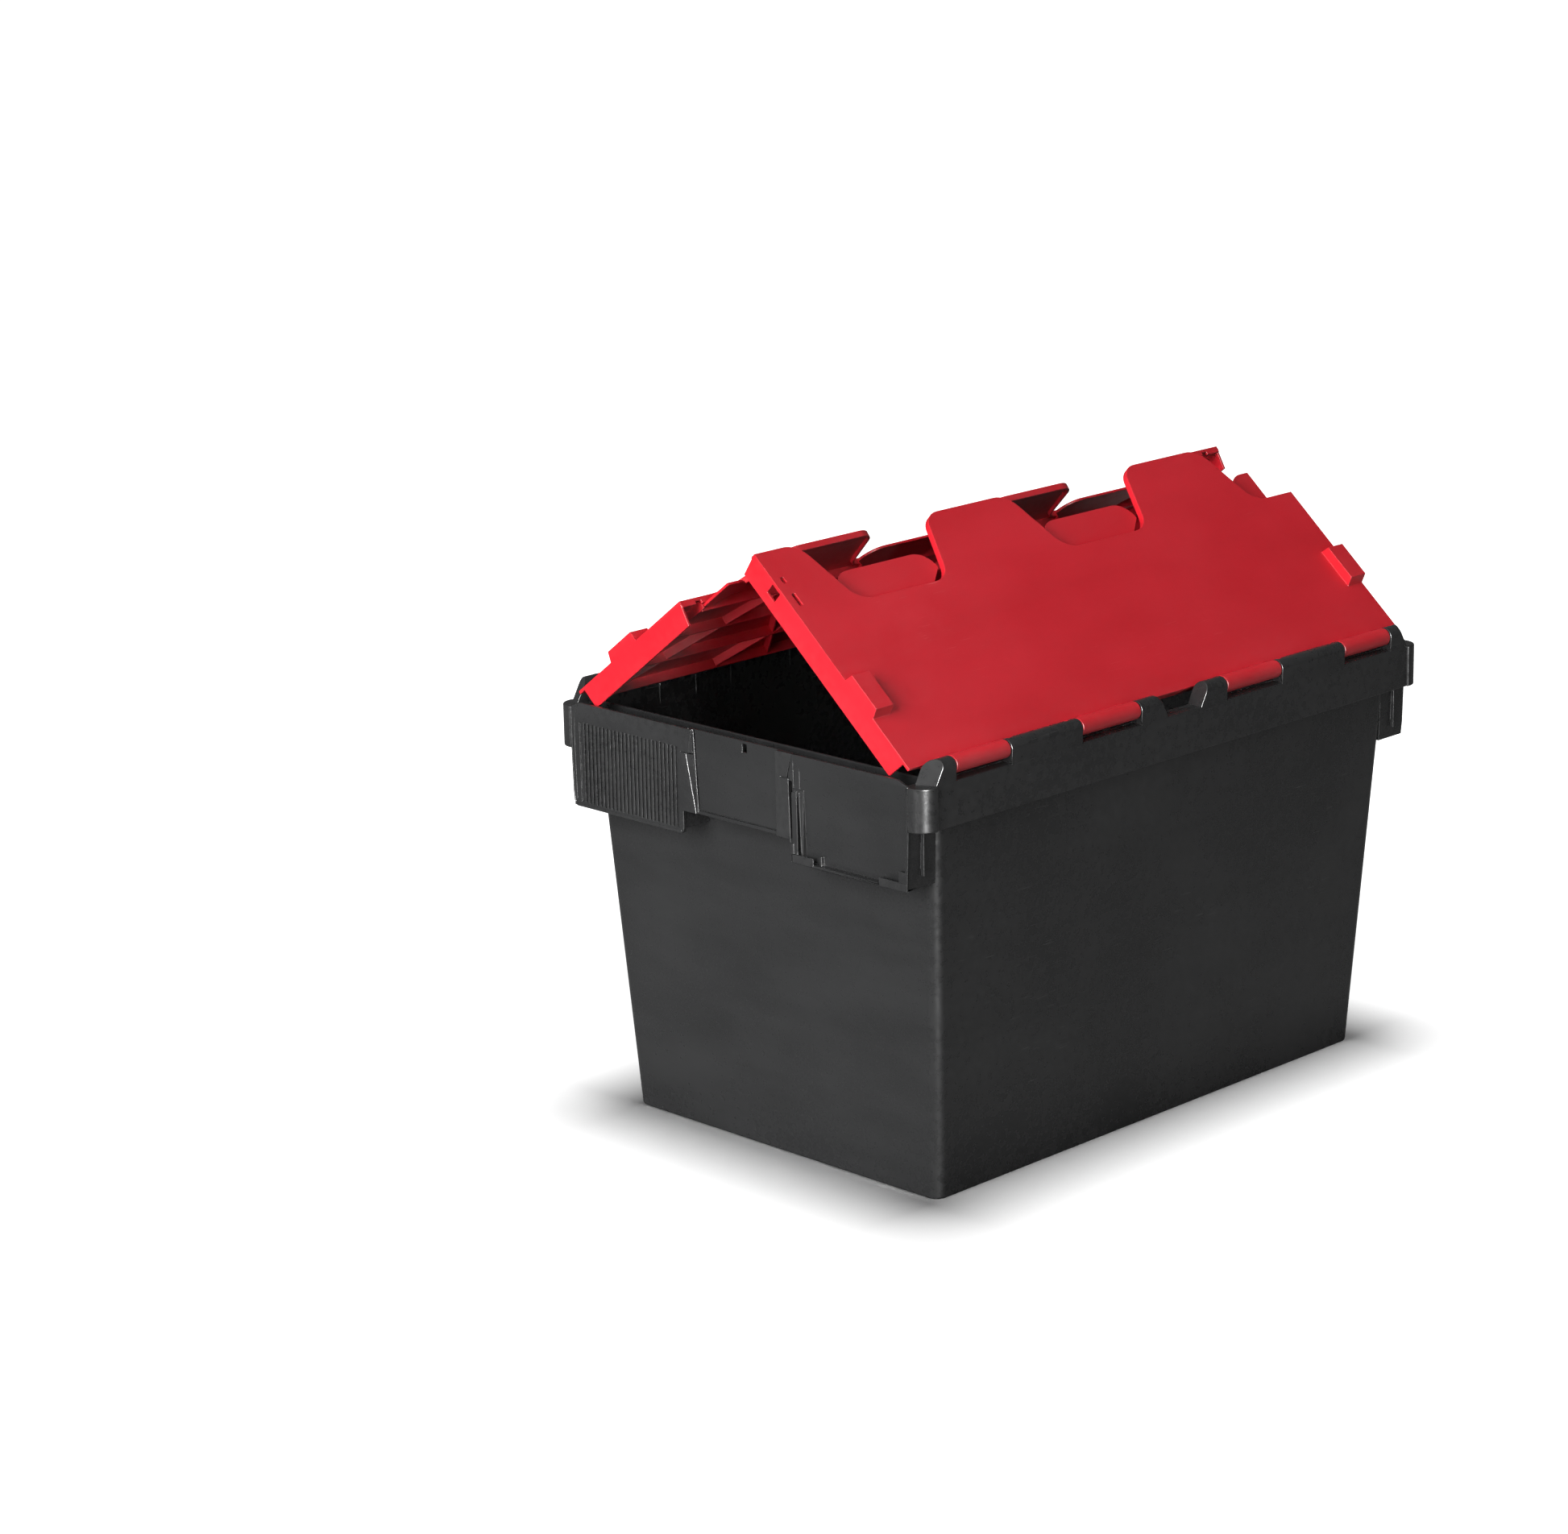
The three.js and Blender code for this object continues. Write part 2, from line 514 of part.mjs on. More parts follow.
// Plate with a downturned rim along its teeth, cut where it would meet the tub's end lips, and the
// recessed pads in its notches.
function lidPlate() {
  const plate = toothedBlock(0, PLATE_BOTTOM, PLATE_TOP);
  const ring = toothedBlock(0, RIM_BOTTOM, PLATE_BOTTOM + 0.5, TEETH_START)
    .subtract(toothedBlock(RIM_T, RIM_BOTTOM - 1, PLATE_BOTTOM, TEETH_START - 12));
  const lipNotches = sides.map((side) => box(LIP_CLEARANCE.map((x) => side * x),
    [TEETH_START - 5, TAB_TIP + 5], [RIM_BOTTOM - 1, PLATE_BOTTOM - 0.2]));
  return joined([cutAway(ring, lipNotches), ...NOTCHES.map(notchPad), plate]);
}

// A straight rib under the plate, from point to point of the plan.
function plateRib([x0, y0], [x1, y1], depth = RIB_DEPTH, thickness = RIB_T) {
  const dx = x1 - x0;
  const dy = y1 - y0;
  const run = Math.hypot(dx, dy);
  const [nx, ny] = [-dy / run * thickness / 2, dx / run * thickness / 2];
  const plan = polygon([
    [x0 + nx, y0 + ny], [x0 - nx, y0 - ny], [x1 - nx, y1 - ny], [x1 + nx, y1 + ny],
  ]);
  return upright(plan, PLATE_BOTTOM - depth, PLATE_BOTTOM + 0.5);
}

// Rib frame, three rows parallel to the hinge, and the zigzag of diagonals between them.
function lidRibs() {
  const last = RIB_ROWS[2];
  const fx = RIB_FRAME_X;
  const frame = [
    [[-fx - 0.9, RIB_FRAME_Y], [fx + 0.9, RIB_FRAME_Y]],
    ...sides.map((side) => [[side * fx, RIB_FRAME_Y], [side * fx, last + 4]]),
  ];
  const rows = RIB_ROWS.map((y) => [[-fx, y], [fx, y]]);
  const middle = [
    [[-22, RIB_FRAME_Y], [-14.6, 26.8]], [[-15.5, 26], [15.5, 26]], [[14.6, 26.8], [22, RIB_FRAME_Y]],
  ];
  const outer = sides.flatMap((side) => [
    [[side * fx, RIB_FRAME_Y], [side * 180, last]],
    [[side * 180, last], [side * 90, RIB_FRAME_Y]],
  ]);
  const inner = sides.flatMap((side) => [
    [[side * 150, RIB_FRAME_Y], [side * 60, last]],
    [[side * 60, last], [0, RIB_ROWS[0]]],
  ]);
  return joined([frame, rows, outer, inner, middle].flatMap((lines, level) =>
    lines.map(([from, to], i) => plateRib(from, to, RIB_DEPTH - 0.3 * level - 0.05 * i))));
}

function endSkirt(side, tipY) {
  const bottom = PLATE_TOP - SKIRT_DEPTH;
  const profile = polygon([
    [SKIRT_START[0], PLATE_TOP - 0.5], [SKIRT_START[1], bottom], [tipY - SKIRT_SLANT, bottom],
    [tipY, PLATE_TOP - 0.5],
  ]);
  return alongX(profile, side * (LID_HALF_L - SKIRT_T), side * LID_HALF_L);
}

// Stacking block beside a skirt: raised above the plate and hollow from below.
function stackingBlock(side, grow = 0) {
  const top = PLATE_TOP + BLOCK_H - grow;
  const profile = polygon([
    [BLOCK_Y[0] + grow, PLATE_BOTTOM - grow], [BLOCK_Y[1] - grow, PLATE_BOTTOM - grow],
    [BLOCK_TOP_Y[1] - grow, top], [BLOCK_TOP_Y[0] + grow, top],
  ]);
  const outer = LID_HALF_L - grow;
  return alongX(profile, side * outer, side * (LID_HALF_L - BLOCK_W + grow));
}

// Lid knuckle: a barrel round the axis with a strap to the plate and two pockets underneath.
function lidKnuckle(side, [x0, x1]) {
  const barrel = rodAlongX(LID_KNUCKLE_R, side * x0, side * x1, 0, 0, 24);
  const strap = alongX(polygon([
    [0, 0], [0, -LID_KNUCKLE_R + 0.1], [2, PLATE_BOTTOM], [HINGE_EDGE + 3, PLATE_BOTTOM],
    [HINGE_EDGE + 3, PLATE_TOP + 0.2], [7.4, PLATE_TOP + 0.9], [5.6, -4.4],
  ]), side * x0, side * x1);
  const pocketEnds = 3;
  const midRib = 1.2;
  const middle = (x0 + x1) / 2;
  const pockets = [[x0 + pocketEnds, middle - midRib], [middle + midRib, x1 - pocketEnds]].map(
    (span) => box([side * span[0], side * span[1]], [-3.6, 4.4], [-20, -3.6]));
  const solid = cutAway(barrel.add(strap), pockets);
  return solid.subtract(rodAlongX(LID_BORE_R, side * (x0 - 1), side * (x1 + 1), 0, 0, 14));
}

// Slots for a security seal in the outer tab: one through the skirt and two through the plate.
function sealSlots() {
  const skirtSlot = box([-LID_HALF_L - 1, -LID_HALF_L + SKIRT_T + 1], [181.5, 191.5], [-18.4, -9.4]);
  const plateSlots = [[166.5, 178], [188.5, 194]].map((range) =>
    box([-285, -281.6], range, [PLATE_TOP - 10, PLATE_TOP + 1]));
  return [skirtSlot, ...plateSlots];
}

function makeLid() {
  const knuckles = sides.flatMap((side) => [
    lidKnuckle(side, INNER_LID_KNUCKLE),
    lidKnuckle(side, OUTER_LID_KNUCKLE),
  ]);
  const blocks = sides.map((side) => stackingBlock(side));
  const blockHollows = sides.map((side) => stackingBlock(side, SKIRT_T));
  const skirts = [endSkirt(-1, TAB_TIP), endSkirt(1, NOTCH_BACK)];
  const shell = cutAway(joined([lidPlate(), ...blocks]), blockHollows);
  return cutAway(joined([shell, lidRibs(), ...skirts, ...knuckles]), sealSlots())
    .simplify(CLEAN);
}

// ---- assembly -----------------------------------------------------------------------------------

const tubPlastic = new THREE.MeshStandardMaterial({ color: 0x2e2f30, roughness: 0.55, metalness: 0 });
const lidPlastic = new THREE.MeshStandardMaterial({ color: 0xc42a36, roughness: 0.5, metalness: 0 });
const rodSteel = new THREE.MeshStandardMaterial({ color: 0xa9abad, roughness: 0.35, metalness: 1 });

function named(name, geometry, material) {
  const mesh = new THREE.Mesh(geometry, material);
  mesh.name = name;
  return mesh;
}

// A lid with its two rods, for the -Y side.
function hingedSide(where, openDegrees) {
  const sideGroup = new THREE.Group();
  const lid = named(`lid_${where}`, toGeometry(makeLid()), lidPlastic);
  lid.position.set(0, -AXIS_Y, AXIS_Z);
  lid.rotation.x = THREE.MathUtils.degToRad(openDegrees);
  sideGroup.add(lid);
  for (const side of sides) {
    const hand = side < 0 ? 'a' : 'b';
    const rod = rodAlongX(ROD_R, side * ROD_SPAN[0], side * ROD_SPAN[1], -AXIS_Y, AXIS_Z, 16);
    sideGroup.add(named(`hinge_rod_${where}_${hand}`, toGeometry(rod), rodSteel));
  }
  return sideGroup;
}

const tote = new THREE.Group();
tote.add(named('tub', toGeometry(makeTub()), tubPlastic));
tote.add(hingedSide('front', FRONT_LID_ANGLE));
const backSide = hingedSide('back', BACK_LID_ANGLE);
backSide.rotation.z = Math.PI;
tote.add(backSide);

export default tote;
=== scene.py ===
"""Attached lid tote: the finished surfaces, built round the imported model, with a plain studio.

Shapes are drawn in millimetres and scaled once, when they become Blender meshes. The tub is drawn
in the part's own frame. A lid is drawn in its own frame: X along its hinge axis, Y from the axis
towards the middle of the closed tote, Z up when the lid is closed. The back half of the tub and
the back lid are the front ones turned half round.
"""

import json
import math

import bmesh
import bpy
from mathutils import Matrix, Vector

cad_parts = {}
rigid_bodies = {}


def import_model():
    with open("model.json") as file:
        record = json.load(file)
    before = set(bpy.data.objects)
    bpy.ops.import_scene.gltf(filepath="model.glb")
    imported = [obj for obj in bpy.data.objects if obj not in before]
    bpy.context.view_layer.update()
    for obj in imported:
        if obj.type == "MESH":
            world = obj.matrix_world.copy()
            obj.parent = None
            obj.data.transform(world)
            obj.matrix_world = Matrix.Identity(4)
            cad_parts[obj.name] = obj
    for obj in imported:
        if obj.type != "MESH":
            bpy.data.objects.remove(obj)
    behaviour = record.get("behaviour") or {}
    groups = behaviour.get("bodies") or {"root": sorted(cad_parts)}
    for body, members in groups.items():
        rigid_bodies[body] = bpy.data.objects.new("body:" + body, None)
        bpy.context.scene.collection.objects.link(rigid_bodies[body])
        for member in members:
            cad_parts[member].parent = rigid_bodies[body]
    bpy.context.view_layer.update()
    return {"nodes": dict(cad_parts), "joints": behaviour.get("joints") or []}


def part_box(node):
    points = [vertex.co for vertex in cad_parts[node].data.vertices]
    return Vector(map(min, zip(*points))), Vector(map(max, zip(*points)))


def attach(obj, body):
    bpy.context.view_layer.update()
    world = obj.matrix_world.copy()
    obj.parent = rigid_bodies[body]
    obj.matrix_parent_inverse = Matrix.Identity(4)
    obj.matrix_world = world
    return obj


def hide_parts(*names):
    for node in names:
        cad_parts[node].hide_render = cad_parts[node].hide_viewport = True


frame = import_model()

# ---- driving dimensions, in millimetres ---------------------------------------------------------

MM = 0.001
tub_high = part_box("tub")[1]
joints = {joint["name"]: joint for joint in frame["joints"]}

HALF_L = round(tub_high.x / MM, 1)              # over the corner posts
HALF_W = round(tub_high.y / MM, 1)
AXIS_Y = abs(joints["front_hinge"]["pos_m"][1]) / MM
AXIS_Z = joints["front_hinge"]["pos_m"][2] / MM
REST_ANGLE = {                                  # opening of each lid at rest, in degrees
    "front": -joints["front_hinge"]["range_deg"][0],
    "back": -joints["back_hinge"]["range_deg"][0],
}

BASE_HALF_L = 254.5
BASE_HALF_W = 167.0
DRAFT = 0.0613                                  # outward lean of the walls
WALL = 2.6
FLOOR = 3.6
LIP_TOP = 342.2
BODY_CORNER = 10.0
FOOT_RING = 16.0                                # the flat ring the tub stands on
FOOT_DEPTH = 1.3                                # hollow inside the ring
FOOT_RIB_HALF = 2.5
FOOT_EDGE = 2.4                                 # roundings of the body
LIP_EDGE = 1.0
FLOOR_EDGE = 6.0
WALL_LEVELS = (60, 120, 180, 240, 300)          # heights of the rings that carry the wall's skin

BAND_FACE = 198.0                               # long rim band
BAND_BOTTOM = 307.0
BAND_TOP = 341.5
BAND_WEB_T = 1.8                                # upright webs behind the band
POST_TOP = 341.2                                # corner posts
POST_CORNER = 14.0
POST_LONG = 17.0
POST_END = 15.1
BRIDGE_X = -271                                 # inner limits of the post's top flange
BRIDGE_Y = -188

PANEL_TOP = 345.5                               # end panels
PANEL_BOTTOM = 262.0
PANEL_EDGE = HALF_W - POST_END
GRIP_T = 3.4                                    # ribbed hand grip
GRIP_SET_BACK = 0.55                            # its fine raised edges stand this far proud
GROOVE_DEPTH = 1.4
GRIP_RIBS = 27
GRIP_RIB_Y = (60.3, 173.6)
GRIP_RIB_Z = (264.6, 329.4)
GRIP_RIB_HALF = (1.3, 1.1)                      # half widths of a rib, at its root and at its crest
STEP_Y = 56.1
STEP_Z = 278.8
TICK_Z = 326.0                                  # the grip panel's inner edge jogs at this level
LIP_BOTTOM = 260.4                              # underside of the end panels' lower lip
KNEE_DEPTH = 0.3                                # shares of the way from the grip to the centre panel
KNEE_REACH = 0.15
CENTRE_RECESS = 3.8                             # plain panel in the middle
CENTRE_T = 2.3
CENTRE_BOTTOM = 281.8
LEDGE_BOTTOM = 278.4
SEAL_SLOT_Y = (-12.5, -7.5)
SEAL_SLOT_Z = (336.4, 343.4)
STRIP_Y = (-60.5, -46.0)                        # strip between the centre panel and the pocket
STRIP_BOTTOM = 278.2
POCKET_LEAN = (0.6, 6.4)                        # label pocket's set-back at its top and bottom
POCKET_T = 2.4
CHANNEL_FLOOR = 320.0
END_WEB_T = 2.2                                 # upright webs behind the end panels

TUB_KNUCKLE_R = 7.2                             # hinge line
LID_KNUCKLE_R = 7.1
LUG_BORE_R = 2.4
LID_BORE_R = 2.6
CENTRE_LUG = (20.0, 51.5)
INNER_LID_KNUCKLE = (52.5, 119.5)
TUB_KNUCKLE = (120.5, 200.5)
OUTER_LID_KNUCKLE = (201.5, 260.5)
END_LUG = (261.5, 283.0)
END_LUG_FLARE = 0.6

LID_HALF_L = 293.0
PLATE_TOP = -6.4                                # lid frame, above the axis
PLATE_T = 2.8
PLATE_BOTTOM = PLATE_TOP - PLATE_T
HINGE_EDGE = 8.8
TAB_TIP = 219.6
NOTCH_BACK = 158.5
TOOTH_PITCH = 118.0
TOOTH_R = 20.0
FLANK_ANGLE = math.radians(70)
FLANK_GAP = 0.9
RIM_T = 2.2
RIM_BOTTOM = PLATE_TOP - 5.6
PAD_TOP = PLATE_TOP - 6.0                       # pads, under the other lid's tabs
PAD_BOTTOM = PAD_TOP - 2.2
PAD_REACH = 190.2
PAD_CORNER = 17.0
PAD_GAP = 2.0
END_PAD_EDGE = 269.0
PAD_ROOT = 22.0                                 # how far a pad's root stands in from the flanks' line
PAD_WALL = 26.0                                 # and how far the wall that carries it does
LIP_CLEARANCE = (271.6, 277.4)                  # |x| where the rim is cut to clear the tub's end lip
SKIRT_T = 2.4                                   # skirts at the lid's ends
SKIRT_DEPTH = 20.5
SKIRT_START = (15.2, 18.4)
SKIRT_SLANT = 3.0
SEAL_EYE_Y = (181.5, 191.5)                     # hole in the -X skirt and slots in the plate beside it
SEAL_EYE_Z = (-18.4, -9.4)
LID_SLOT_X = (-285, -281.6)
LID_SLOTS_Y = ((166.5, 178), (188.5, 194))
RIB_T = 1.8                                     # ribs under the plate
RIB_DEPTH = 8.0
RIB_FRAME_X = 270.0
RIB_FRAME_Y = 12.0
RIB_ROWS = (59.0, 106.0, 152.0)
BLOCK_Y = (56.5, 95.5)                          # stacking blocks
BLOCK_TOP_Y = (60.0, 93.0)
BLOCK_W = 19.0
BLOCK_H = 8.4

EDGE_ROUND = 0.45                               # usual rounding of a moulded edge
POST_ROUND = 1.0
END_ROUND = 0.35
LID_ROUND = 0.5
SMOOTH_ANGLE = math.radians(32)
SIDES = (-1, 1)

# ---- mesh code ----------------------------------------------------------------------------------


def split_if_bent(mesh, corners):
    """Adds a four-cornered face, as two triangles if its corners don't lie in one plane."""
    a, b, c, d = (corner.co for corner in corners)
    across = (c - a).cross(d - b)
    if across.length > 0 and abs((b - a).dot(across.normalized())) > 0.002 * MM:
        mesh.faces.new(corners[:3])
        mesh.faces.new((corners[0], corners[2], corners[3]))
    else:
        mesh.faces.new(corners)


def loft(rings):
    """A skin through rings of (x, y, z) points, closed at both ends."""
    mesh = bmesh.new()
    levels = [[mesh.verts.new(Vector(point) * MM) for point in ring] for ring in rings]
    for lower, upper in zip(levels, levels[1:]):
        for i in range(len(lower)):
            split_if_bent(mesh, (lower[i - 1], lower[i], upper[i], upper[i - 1]))
    mesh.faces.new(levels[0])
    mesh.faces.new(levels[-1])
    bmesh.ops.recalc_face_normals(mesh, faces=mesh.faces)
    return mesh


PLANES = {
    "x": lambda u, v, level: (level, u, v),
    "y": lambda u, v, level: (u, level, v),
    "z": lambda u, v, level: (u, v, level),
}


def prism(axis, outline, low, high):
    """An outline in the plane across an axis, run along that axis."""
    place = PLANES[axis]
    return loft([[place(u, v, level) for u, v in outline] for level in (low, high)])


def box(xs, ys, zs):
    (x0, x1), (y0, y1) = sorted(xs), sorted(ys)
    return prism("z", [(x0, y0), (x1, y0), (x1, y1), (x0, y1)], *sorted(zs))


def ribbon(outer, inner, low, high):
    """A wall between two matching paths in plan, from one level to another."""
    outline = list(outer) + list(reversed(inner))
    return prism("z", outline, low, high)


def arc(centre, radius, start, end, steps):
    """Points on an arc, angles in radians."""
    angles = [start + (end - start) * step / steps for step in range(steps + 1)]
    return [(centre[0] + radius * math.cos(a), centre[1] + radius * math.sin(a)) for a in angles]


def as_object(name, mesh):
    data = bpy.data.meshes.new(name)
    mesh.to_mesh(data)
    mesh.free()
    obj = bpy.data.objects.new(name, data)
    bpy.context.scene.collection.objects.link(obj)
    return obj


def combine(obj, others, operation):
    """Joins the other meshes to the object, or cuts them away from it."""
    if not others:
        return
    group = bpy.data.collections.new("operands")
    bpy.context.scene.collection.children.link(group)
    for i, mesh in enumerate(others):
        operand = as_object(f"operand_{i}", mesh)
        bpy.context.scene.collection.objects.unlink(operand)
        group.objects.link(operand)
    modifier = obj.modifiers.new("combine", "BOOLEAN")
    modifier.operation = operation
    modifier.operand_type = "COLLECTION"
    modifier.collection = group
    modifier.solver = "EXACT"
    modifier.use_self = True
    depsgraph = bpy.context.evaluated_depsgraph_get()
    result = bpy.data.meshes.new_from_object(obj.evaluated_get(depsgraph))
    obj.modifiers.clear()
    obj.data = result
    for operand in list(group.objects):
        bpy.data.objects.remove(operand)
    bpy.data.collections.remove(group)


def tidy(obj):
    """Merges close points and dissolves the edges that lie within flat faces."""
    mesh = bmesh.new()
    mesh.from_mesh(obj.data)
    bmesh.ops.remove_doubles(mesh, verts=mesh.verts, dist=0.01 * MM)
    bmesh.ops.dissolve_limit(mesh, angle_limit=math.radians(0.4), verts=mesh.verts,
                             edges=mesh.edges)
    mesh.to_mesh(obj.data)
    mesh.free()


def smooth(obj, rounding, segments=2):
    """Rounds the sharp edges and shades the rest smoothly, with flat faces kept flat."""
    data = obj.data
    data.polygons.foreach_set("use_smooth", [True] * len(data.polygons))
    data.set_sharp_from_angle(angle=SMOOTH_ANGLE)
    if rounding:
        bevel = obj.modifiers.new("rounding", "BEVEL")
        bevel.width = rounding * MM
        bevel.segments = segments
        bevel.limit_method = "ANGLE"
        bevel.angle_limit = SMOOTH_ANGLE
        bevel.use_clamp_overlap = False
        bevel.miter_outer = "MITER_ARC"
    weighted = obj.modifiers.new("weighted_normals", "WEIGHTED_NORMAL")
    weighted.keep_sharp = True
    weighted.weight = 80


def finished(name, pieces, cutters=(), rounding=EDGE_ROUND, segments=2, fuse=True):
    """An object made of all the pieces, less the cutters, with its edges rounded."""
    if fuse:
        obj = as_object(name, pieces[0])
        combine(obj, pieces[1:], "UNION")
        combine(obj, cutters, "DIFFERENCE")
        if len(pieces) > 1 or cutters:
            tidy(obj)
    else:
        whole = bmesh.new()
        for piece in pieces:
            data = bpy.data.meshes.new("piece")
            piece.to_mesh(data)
            piece.free()
            whole.from_mesh(data)
            bpy.data.meshes.remove(data)
        obj = as_object(name, whole)
    smooth(obj, rounding, segments)
    return obj


# ---- tub ----------------------------------------------------------------------------------------


def body_half_w(z):
    return BASE_HALF_W + DRAFT * z


def body_half_l(z):
    return BASE_HALF_L + DRAFT * z


def tub_ring(z, inset, steps=10):
    """A level ring round the tub body, inset from its outer face."""
    half_x = body_half_l(z) - inset
    half_y = body_half_w(z) - inset
    radius = max(BODY_CORNER - inset, 2.0)
    points = []
    for corner, (sx, sy) in enumerate([(1, -1), (1, 1), (-1, 1), (-1, -1)]):
        centre = (sx * (half_x - radius), sy * (half_y - radius))
        start = math.radians(90 * (corner - 1))
        for x, y in arc(centre, radius, start, start + math.pi / 2, steps):
            points.append((x, y, z))
    return points


def quarter(radius, steps=4):
    """Offsets (across, along) of a rounded edge, from 0 to the full radius."""
    for step in range(steps + 1):
        angle = math.pi / 2 * step / steps
        yield radius * (1 - math.sin(angle)), radius * (1 - math.cos(angle))


def tub_body():
    """Foot ring, walls, lip and floor: one skin, up the outside and down the inside."""
    rings = [tub_ring(FOOT_DEPTH, FOOT_RING), tub_ring(0, FOOT_RING)]
    rings += [tub_ring(along, across) for across, along in quarter(FOOT_EDGE)]
    rings += [tub_ring(z, 0) for z in WALL_LEVELS]
    rings += [tub_ring(LIP_TOP - across, along) for across, along in quarter(LIP_EDGE)]
    rings += [tub_ring(LIP_TOP - along, WALL - across) for across, along in quarter(LIP_EDGE)]
    rings += [tub_ring(z, WALL) for z in reversed(WALL_LEVELS)]
    rings += [tub_ring(FLOOR + across, WALL + along) for across, along in quarter(FLOOR_EDGE)]
    return finished("tub_body", [loft(rings)], rounding=0)


def tub_foot_ribs():
    """Ribs across the hollow of the foot. Those along the tub are the shallower ones."""
    half_x = BASE_HALF_L - FOOT_RING
    half_y = BASE_HALF_W - FOOT_RING
    rib = FOOT_RIB_HALF
    along_y = [box((x - rib, x + rib), (-half_y - 1, half_y + 1), (0, FOOT_DEPTH + 0.5))
               for x in (-half_x / 2, 0, half_x / 2)]
    along_x = [box((-half_x - 1, half_x + 1), (y - rib, y + rib), (0.7, FOOT_DEPTH + 0.4))
               for y in (-half_y / 3, half_y / 3)]
    return finished("tub_foot_ribs", along_y + along_x, rounding=0.3)


def hinge_barrel(x0, x1):
    """A stretch of the tub's hinge: round over the axis, its outer leg flush with the band."""
    legs = [(-BAND_FACE, BAND_TOP - 1), (-AXIS_Y + TUB_KNUCKLE_R, BAND_TOP - 1)]
    crown = arc((-AXIS_Y, AXIS_Z), TUB_KNUCKLE_R, 0, math.pi, 20)
    return prism("x", legs + crown, *sorted((x0, x1)))


def sloping_cutter(side, edge, slope, flare=0.0):
    """Takes off the sloping end of a lug.

    slope is how far the top stands back from the edge at the band's face, and flare how much
    further out each mm of depth behind the face lets the lug reach."""
    top = AXIS_Z + TUB_KNUCKLE_R + 1
    away = -math.copysign(30, slope)
    rings = []
    for y in (-BAND_FACE - 3, -BAND_FACE + 17):
        reach = edge + flare * (y + BAND_FACE)
        rings.append([(side * reach, y, BAND_TOP), (side * (reach + slope), y, top),
                      (side * (reach + away), y, top), (side * (reach + away), y, BAND_TOP)])
    return loft(rings)


def bore(x0, x1, radius, y=0.0, z=0.0):
    outline = arc((y, z), radius, 0, 2 * math.pi * 19 / 20, 19)
    return prism("x", outline, *sorted((x0, x1)))


def tub_long_side(name):
    """Rim band and hinge parts of the -Y long side."""
    half_run = HALF_L - POST_LONG + 0.5
    wall_y = body_half_w(BAND_BOTTOM) - 1.6
    pieces = [
        box((-half_run, half_run), (-BAND_FACE, -BAND_FACE + WALL), (BAND_BOTTOM, BAND_TOP)),
        box((-half_run, half_run), (-BAND_FACE, -wall_y - 2.0), (BAND_TOP - WALL, BAND_TOP)),
    ]
    cutters = []
    web = BAND_WEB_T / 2
    knuckle_middle = sum(TUB_KNUCKLE) / 2 - 0.5
    for side in SIDES:
        for x in (CENTRE_LUG[0] + 1, CENTRE_LUG[1], TUB_KNUCKLE[0], knuckle_middle, TUB_KNUCKLE[1],
                  END_LUG[0]):
            pieces.append(box((side * x - web, side * x + web), (-BAND_FACE + 1, -wall_y),
                              (BAND_BOTTOM + 3, BAND_TOP - 1)))
        for span in (CENTRE_LUG, TUB_KNUCKLE, (END_LUG[0], END_LUG[1] + 8)):
            pieces.append(hinge_barrel(side * span[0], side * span[1]))
        cutters.append(sloping_cutter(side, CENTRE_LUG[0], 10))
        cutters.append(sloping_cutter(side, END_LUG[1], -11, END_LUG_FLARE))
        cutters.append(bore(side * (CENTRE_LUG[0] + 9), side * (END_LUG[1] - 7), LUG_BORE_R,
                            -AXIS_Y, AXIS_Z))
        for x in (TUB_KNUCKLE[0] + 4, TUB_KNUCKLE[1] - 11):
            cutters.append(box((side * x, side * (x + 7)), (-AXIS_Y, -AXIS_Y + 5),
                               (AXIS_Z + 4.2, AXIS_Z + 20)))
    return finished(name, pieces, cutters, rounding=0.4)


def corner_post(name):
    """The hollow cap round the corner at -X -Y, open underneath."""
    centre = (-HALF_L + POST_CORNER, -HALF_W + POST_CORNER)
    inner_end = -HALF_L + POST_LONG

    def outline(inset, reach_x, reach_y):
        rounded = arc(centre, POST_CORNER - inset, math.pi, 1.5 * math.pi, 12)
        return [(-HALF_L + inset, reach_y)] + rounded + [(reach_x, -HALF_W + inset), (reach_x, reach_y)]

    cap = prism("z", outline(0, inner_end, -PANEL_EDGE + 0.9), BAND_BOTTOM, POST_TOP)
    hollow = prism("z", outline(WALL, inner_end - WALL, -PANEL_EDGE - 0.1), BAND_BOTTOM - 1,
                   POST_TOP - WALL)
    bridge = box((inner_end - 1, BRIDGE_X), (BRIDGE_Y, -PANEL_EDGE + 0.9), (POST_TOP - WALL, POST_TOP))
    return finished(name, [cap, bridge], [hollow], rounding=POST_ROUND, segments=3)


FACE = -HALF_L                                  # the end panels' outermost plane
WALL_X = -body_half_l(PANEL_BOTTOM) + 2         # webs run this far in before they are trimmed
POCKET_LOW = PANEL_BOTTOM - 0.4
RETURN_T = 2.4


def pocket_face(z):
    """X of the label pocket's leaning panel."""
    part = (PANEL_TOP - z) / (PANEL_TOP - PANEL_BOTTOM)
    return -HALF_L + POCKET_LEAN[0] + part * (POCKET_LEAN[1] - POCKET_LEAN[0])


def crest_y(z):
    """Inner edge of the grip panel at a level; it jogs at TICK_Z."""
    if z > TICK_Z:
        return 48.6 - 2.2 * (z - TICK_Z) / (PANEL_TOP - TICK_Z)
    return 41.6 + 10.5 * (z - STEP_Z) / (TICK_Z - STEP_Z)


def foot_y(z):
    """Where the slope from the grip panel's inner edge meets the recessed centre panel."""
    return 41.5 + 4.3 * (z - STEP_Z) / (PANEL_TOP - STEP_Z)


